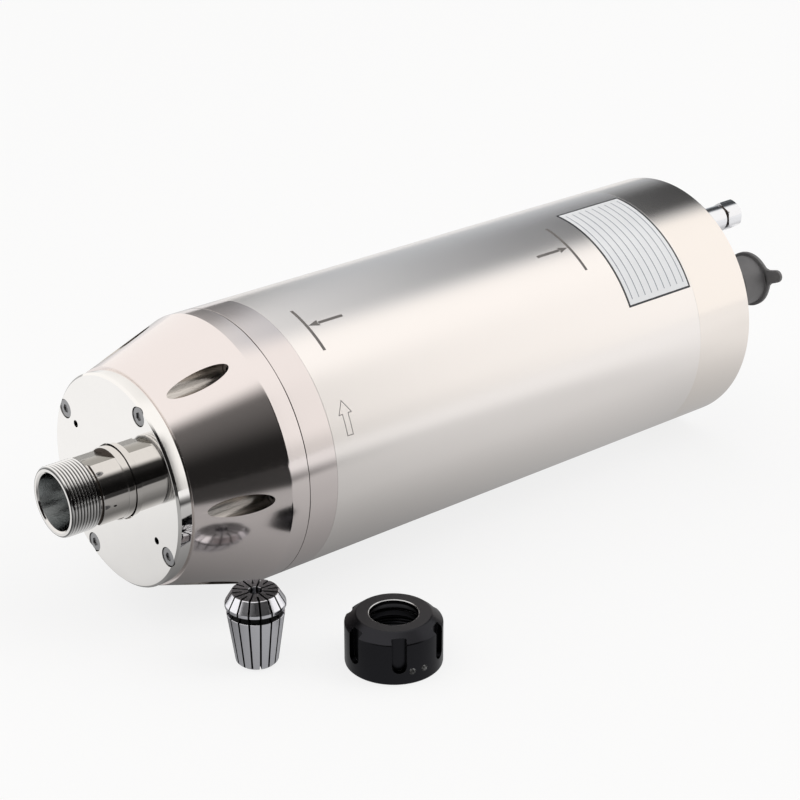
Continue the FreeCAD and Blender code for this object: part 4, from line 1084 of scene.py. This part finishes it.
def band(name, x0, x1, turns, lift=mark_lift, columns=48):
    """Curved sheet on the tube between two places along it and two turns."""
    shape = bmesh.new()
    rows = []
    for radius in (body_r - mark_lift, body_r + lift):
        for x in (x0, x1):
            rows.append([shape.verts.new(polar(radius, turns[0] + (turns[1] - turns[0]) * i / columns, x))
                         for i in range(columns + 1)])
    order = [rows[0], rows[1], rows[3], rows[2]]
    for low, high in zip(order, order[1:] + order[:1]):
        for i in range(columns):
            shape.faces.new([low[i], low[i + 1], high[i + 1], high[i]])
    shape.faces.new([row[0] for row in order])
    shape.faces.new([row[-1] for row in order])
    return from_bmesh(name, shape)


def clamp_marks_on_tube():
    """A line across each end of the clamp zone, with an arrow that points at it from inside the zone."""
    parts = []
    half = mark_w / 2 * PER_MM
    wing = arrow_head_w / 2 * PER_MM
    for x, turn_0, turn_1, arrow_turn, tail_x in clamp_marks:
        way = 1 if x > tail_x else -1
        neck_x = x - way * (arrow_head_len + mark_w / 2)
        parts += [
            band("line", x - mark_w / 2, x + mark_w / 2, (turn_0, turn_1)),
            band("stem", min(tail_x, neck_x), max(tail_x, neck_x), (arrow_turn - half, arrow_turn + half), columns=4),
            wrapped("head", [(x - way * mark_w / 2, arrow_turn), (neck_x, arrow_turn + wing),
                             (neck_x, arrow_turn - wing)]),
        ]
    finish(smooth(joined("clamp_zone_marks", parts)), "etched_mark", slot=None)


def turning_arrow():
    """Outline of an arrow that gives the direction of rotation."""
    x, tail_turn, head_turn, tip_turn = turning_arrow_place
    half_w, head_w, line = 1.5, 3.4, 0.35
    outline = [(x - half_w, tail_turn), (x - half_w, head_turn), (x - head_w, head_turn), (x, tip_turn),
               (x + head_w, head_turn), (x + half_w, head_turn), (x + half_w, tail_turn)]
    parts = []
    for (x0, t0), (x1, t1) in zip(outline, outline[1:] + outline[:1]):
        along = Vector((x1 - x0, (t1 - t0) / PER_MM)).normalized() * line / 2
        side = Vector((-along.y, along.x))
        corners = [(x0 - along.x + side.x, t0 - (along.y - side.y) * PER_MM),
                   (x1 + along.x + side.x, t1 + (along.y + side.y) * PER_MM),
                   (x1 + along.x - side.x, t1 + (along.y - side.y) * PER_MM),
                   (x0 - along.x - side.x, t0 - (along.y + side.y) * PER_MM)]
        parts.append(wrapped("stroke", corners, steps=6))
    finish(smooth(joined("turning_arrow_mark", parts)), "etched_mark", slot=None)


def blank_plate():
    """Film plate with a dark border and empty ruled lines."""
    film_lift = 0.10
    border = 1.0
    turn_0, turn_1 = plate_turns
    edge = band("plate_edge", plate_x0, plate_x1, plate_turns, film_lift - 0.03)
    finish(smooth(edge), "plate_ink", slot=None)
    inner = (turn_0 + border * PER_MM, turn_1 - border * PER_MM)
    film = band("plate_face", plate_x0 + border, plate_x1 - border, inner, film_lift)
    finish(smooth(film), "plate_film", slot=None)
    margin = 3.5
    count = 9
    step = (plate_x1 - plate_x0 - 2 * margin) / (count - 1)
    rules = run_tree("plate_rules", curved_rules, {
        "Count": count, "First Turn": math.radians(turn_0 + margin * PER_MM),
        "Turn Span": math.radians(turn_1 - turn_0 - 2 * margin * PER_MM), "Material": materials["rule_ink"],
    }, {"First X": plate_x0 + margin, "Step": step, "Width": 0.5, "Radius": body_r + film_lift, "Lift": 0.03})
    finish(smooth(rules), "rule_ink", slot=None)


# Solids that keep their own mesh

KEPT = {
    "seal_rubber": ["seal_rings"],
    "jacket_aluminium": ["water_jacket", "rotor_end_rings"],
    "lamination_steel": ["stator_core", "rotor_core"],
    "winding_varnish": ["stator_windings"],
    "wire_sleeve": ["motor_leads"],
    "bearing_steel": ["front_outer_rings", "front_inner_rings", "front_balls", "front_outer_spacer",
                      "front_inner_spacer", "rear_outer_rings", "rear_inner_rings", "rear_balls",
                      "rear_outer_spacer", "rear_inner_spacer"],
    "cage_resin": ["front_cages", "rear_cages"],
    "shaft_steel": ["front_lock_nut", "labyrinth_ring", "rear_lock_nut", "rear_bearing_sleeve",
                    "rear_clamp_ring", "preload_disc_spring"],
    "fitting_nickel": ["connector_shell"],
    "connector_resin": ["connector_insert"],
    "pin_brass": ["connector_pins"],
    "screw_steel": ["connector_screws"],
}


def dress_kept_solids():
    for material, names in KEPT.items():
        for name in names:
            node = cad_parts[name]
            node.data.materials.clear()
            with_materials(node, material)
            node.modifiers.new("shading", "NODES").node_group = clean_shading


# Camera, floor and light

def aimed(obj, place, way):
    """Put a camera or lamp, which look along -Z, at a place in metres and point it."""
    return with_values(obj, location=place, rotation_euler=way.to_track_quat("-Z", "Y").to_euler())


def add_camera():
    camera = with_values(bpy.data.cameras.new("camera"), lens=98.0, sensor_width=36.0, clip_start=0.01,
                         clip_end=100.0)
    place = Vector((-605.73, -724.34, 426.31)) * MM
    bpy.context.scene.camera = aimed(new_object("camera", camera), place, Vector((0.5796, 0.6988, -0.4193)))


def add_floor():
    """Pale floor, white to the camera. To metal it glows with painted light and shade: white behind the nose,
    a painted shadow that greys it beside the body, and a dark painted band in front where it seems to end."""
    size, z = 30.0, floor_z * MM
    mesh = bpy.data.meshes.new("floor")
    mesh.from_pydata([(-size, -size, z), (size, -size, z), (size, size, z), (-size, size, z)], [], [(0, 1, 2, 3)])
    material, tree, shader = surface("pale_floor", (0.92, 0.92, 0.92), 0.0, 0.9)
    x, y, _ = split(wire(tree, "ShaderNodeTexCoord")["Object"])
    right = step_up(x, -0.20, 0.15)
    # Level of the glow that metal sees, set by place: painted light and shade. Near the body it drops, as a painted
    # contact shadow.
    away = step_up(maths("ABSOLUTE", y), 0.0, 0.13)
    level = between(right, 0.41, 0.72) * between(step_up(x, 0.16, 0.30), 1.0, 1.28)
    level = level * blended(away, between(right, 0.32, 0.60), 0.97)
    far = step_down(y, -0.40, -0.20) * step_up(x, 0.05, 0.40)
    # A dark painted band in front of the body, and a brighter far part to the right.
    gap = step_down(y, -0.33, -0.25) * step_down(x, -0.03, 0.20)
    level = blended(far, level, 0.96) * between(gap, 1.0, 0.05)
    behind_nose = step_down(x, -0.185, -0.145) * step_up(y, -0.04, 0.02)
    level = blended(behind_nose, level, between(step_up(y, 0.0, 0.14), 0.76, 1.0))
    rays = wire(tree, "ShaderNodeLightPath")
    camera_ray = rays["Is Camera Ray"]
    glow = wire(tree, "ShaderNodeEmission", (1, 1, 1, 1), maths("MAXIMUM", level, camera_ray))
    share = maths("MULTIPLY_ADD", rays["Is Glossy Ray"], 0.97, camera_ray * 0.80)
    mix = wire(tree, "ShaderNodeMixShader", share, Out(tree, shader), glow)
    feed(tree.nodes["Material Output"], {"Surface": mix})
    mesh.materials.append(material)
    floor = new_object("floor", mesh)


def add_room():
    """White studio, as metal sees it by direction: a dark room and a dark card beside the camera, and a back
    wall with a dark strip that greys and cools towards the rear end. The camera sees plain white."""
    world = bpy.data.worlds.new("studio")
    world.use_nodes = True
    bpy.context.scene.world = world
    tree = world.node_tree
    x, y, z = split(wire(tree, "ShaderNodeTexCoord")["Generated"])
    around = maths("DEGREES", maths("ARCTAN2", z, y))
    room = step_down(y, -0.60, -0.36) * step_down(x, 0.480, 0.494)
    room_level = between(step_up(z, 0.3, 0.85), 0.018, 0.15) * between(step_up(x, 0.1, 0.45), 1.0, 0.15)
    room_level = room_level * between(step_down(x, -0.40, -0.20), 1.0, 0.35)
    card = step_down(x, -0.66, -0.60) * step_up(z, -0.16, -0.08)
    card = card * (step_down(z, 0.52, 0.62) * step_down(y, 0.08, 0.18))
    low_right = window(x, 0.49, 0.60, 0.01, 0.04) * step_down(z, 0.05, 0.30)
    back = step_down(around, 66, 90) * step_up(x, 0.46, 0.51)
    strip = window(x, 0.505, 0.54, 0.012, 0.01) * step_down(around, 26, 62)
    back_level = between(step_up(x, 0.515, 0.65), 0.86, 0.25) * between(step_up(x, 0.645, 0.685), 1.0, 0.16)
    back_level = blended(step_up(around, 0, 40), 0.54, back_level) * between(strip, 1.0, 0.34)
    level = blended(back, between(low_right, 1.08, 0.82), back_level)
    level = blended(card, blended(room, level, room_level), 0.012)
    colour = tinted(back * step_up(x, 0.51, 0.55), (1.0, 0.985, 0.965), (0.89, 0.942, 1.0))
    seen = wire(tree, "ShaderNodeLightPath")["Is Camera Ray"]
    feed(tree.nodes["Background"], {"Color": tinted(seen, colour, (1, 1, 1)), "Strength": blended(seen, level, 1.0)})


def add_softbox():
    light = with_values(bpy.data.lights.new("softbox", "AREA"), shape="RECTANGLE", size=1.2, size_y=1.6, energy=10.0)
    place = Vector((1.1, -1.2, 1.3))
    aimed(new_object("softbox", light), place, -place).visible_glossy = False


for make in (add_camera, add_floor, add_room, add_softbox, housing_tube, front_ring, nose_cone, nose_flange,
             rear_housing, rear_cover, spindle_shaft, water_fittings, connector_cap, collet, collet_nut,
             clamp_marks_on_tube, turning_arrow, blank_plate, dress_kept_solids):
    make()

bpy.context.scene.view_settings.view_transform = "Standard"
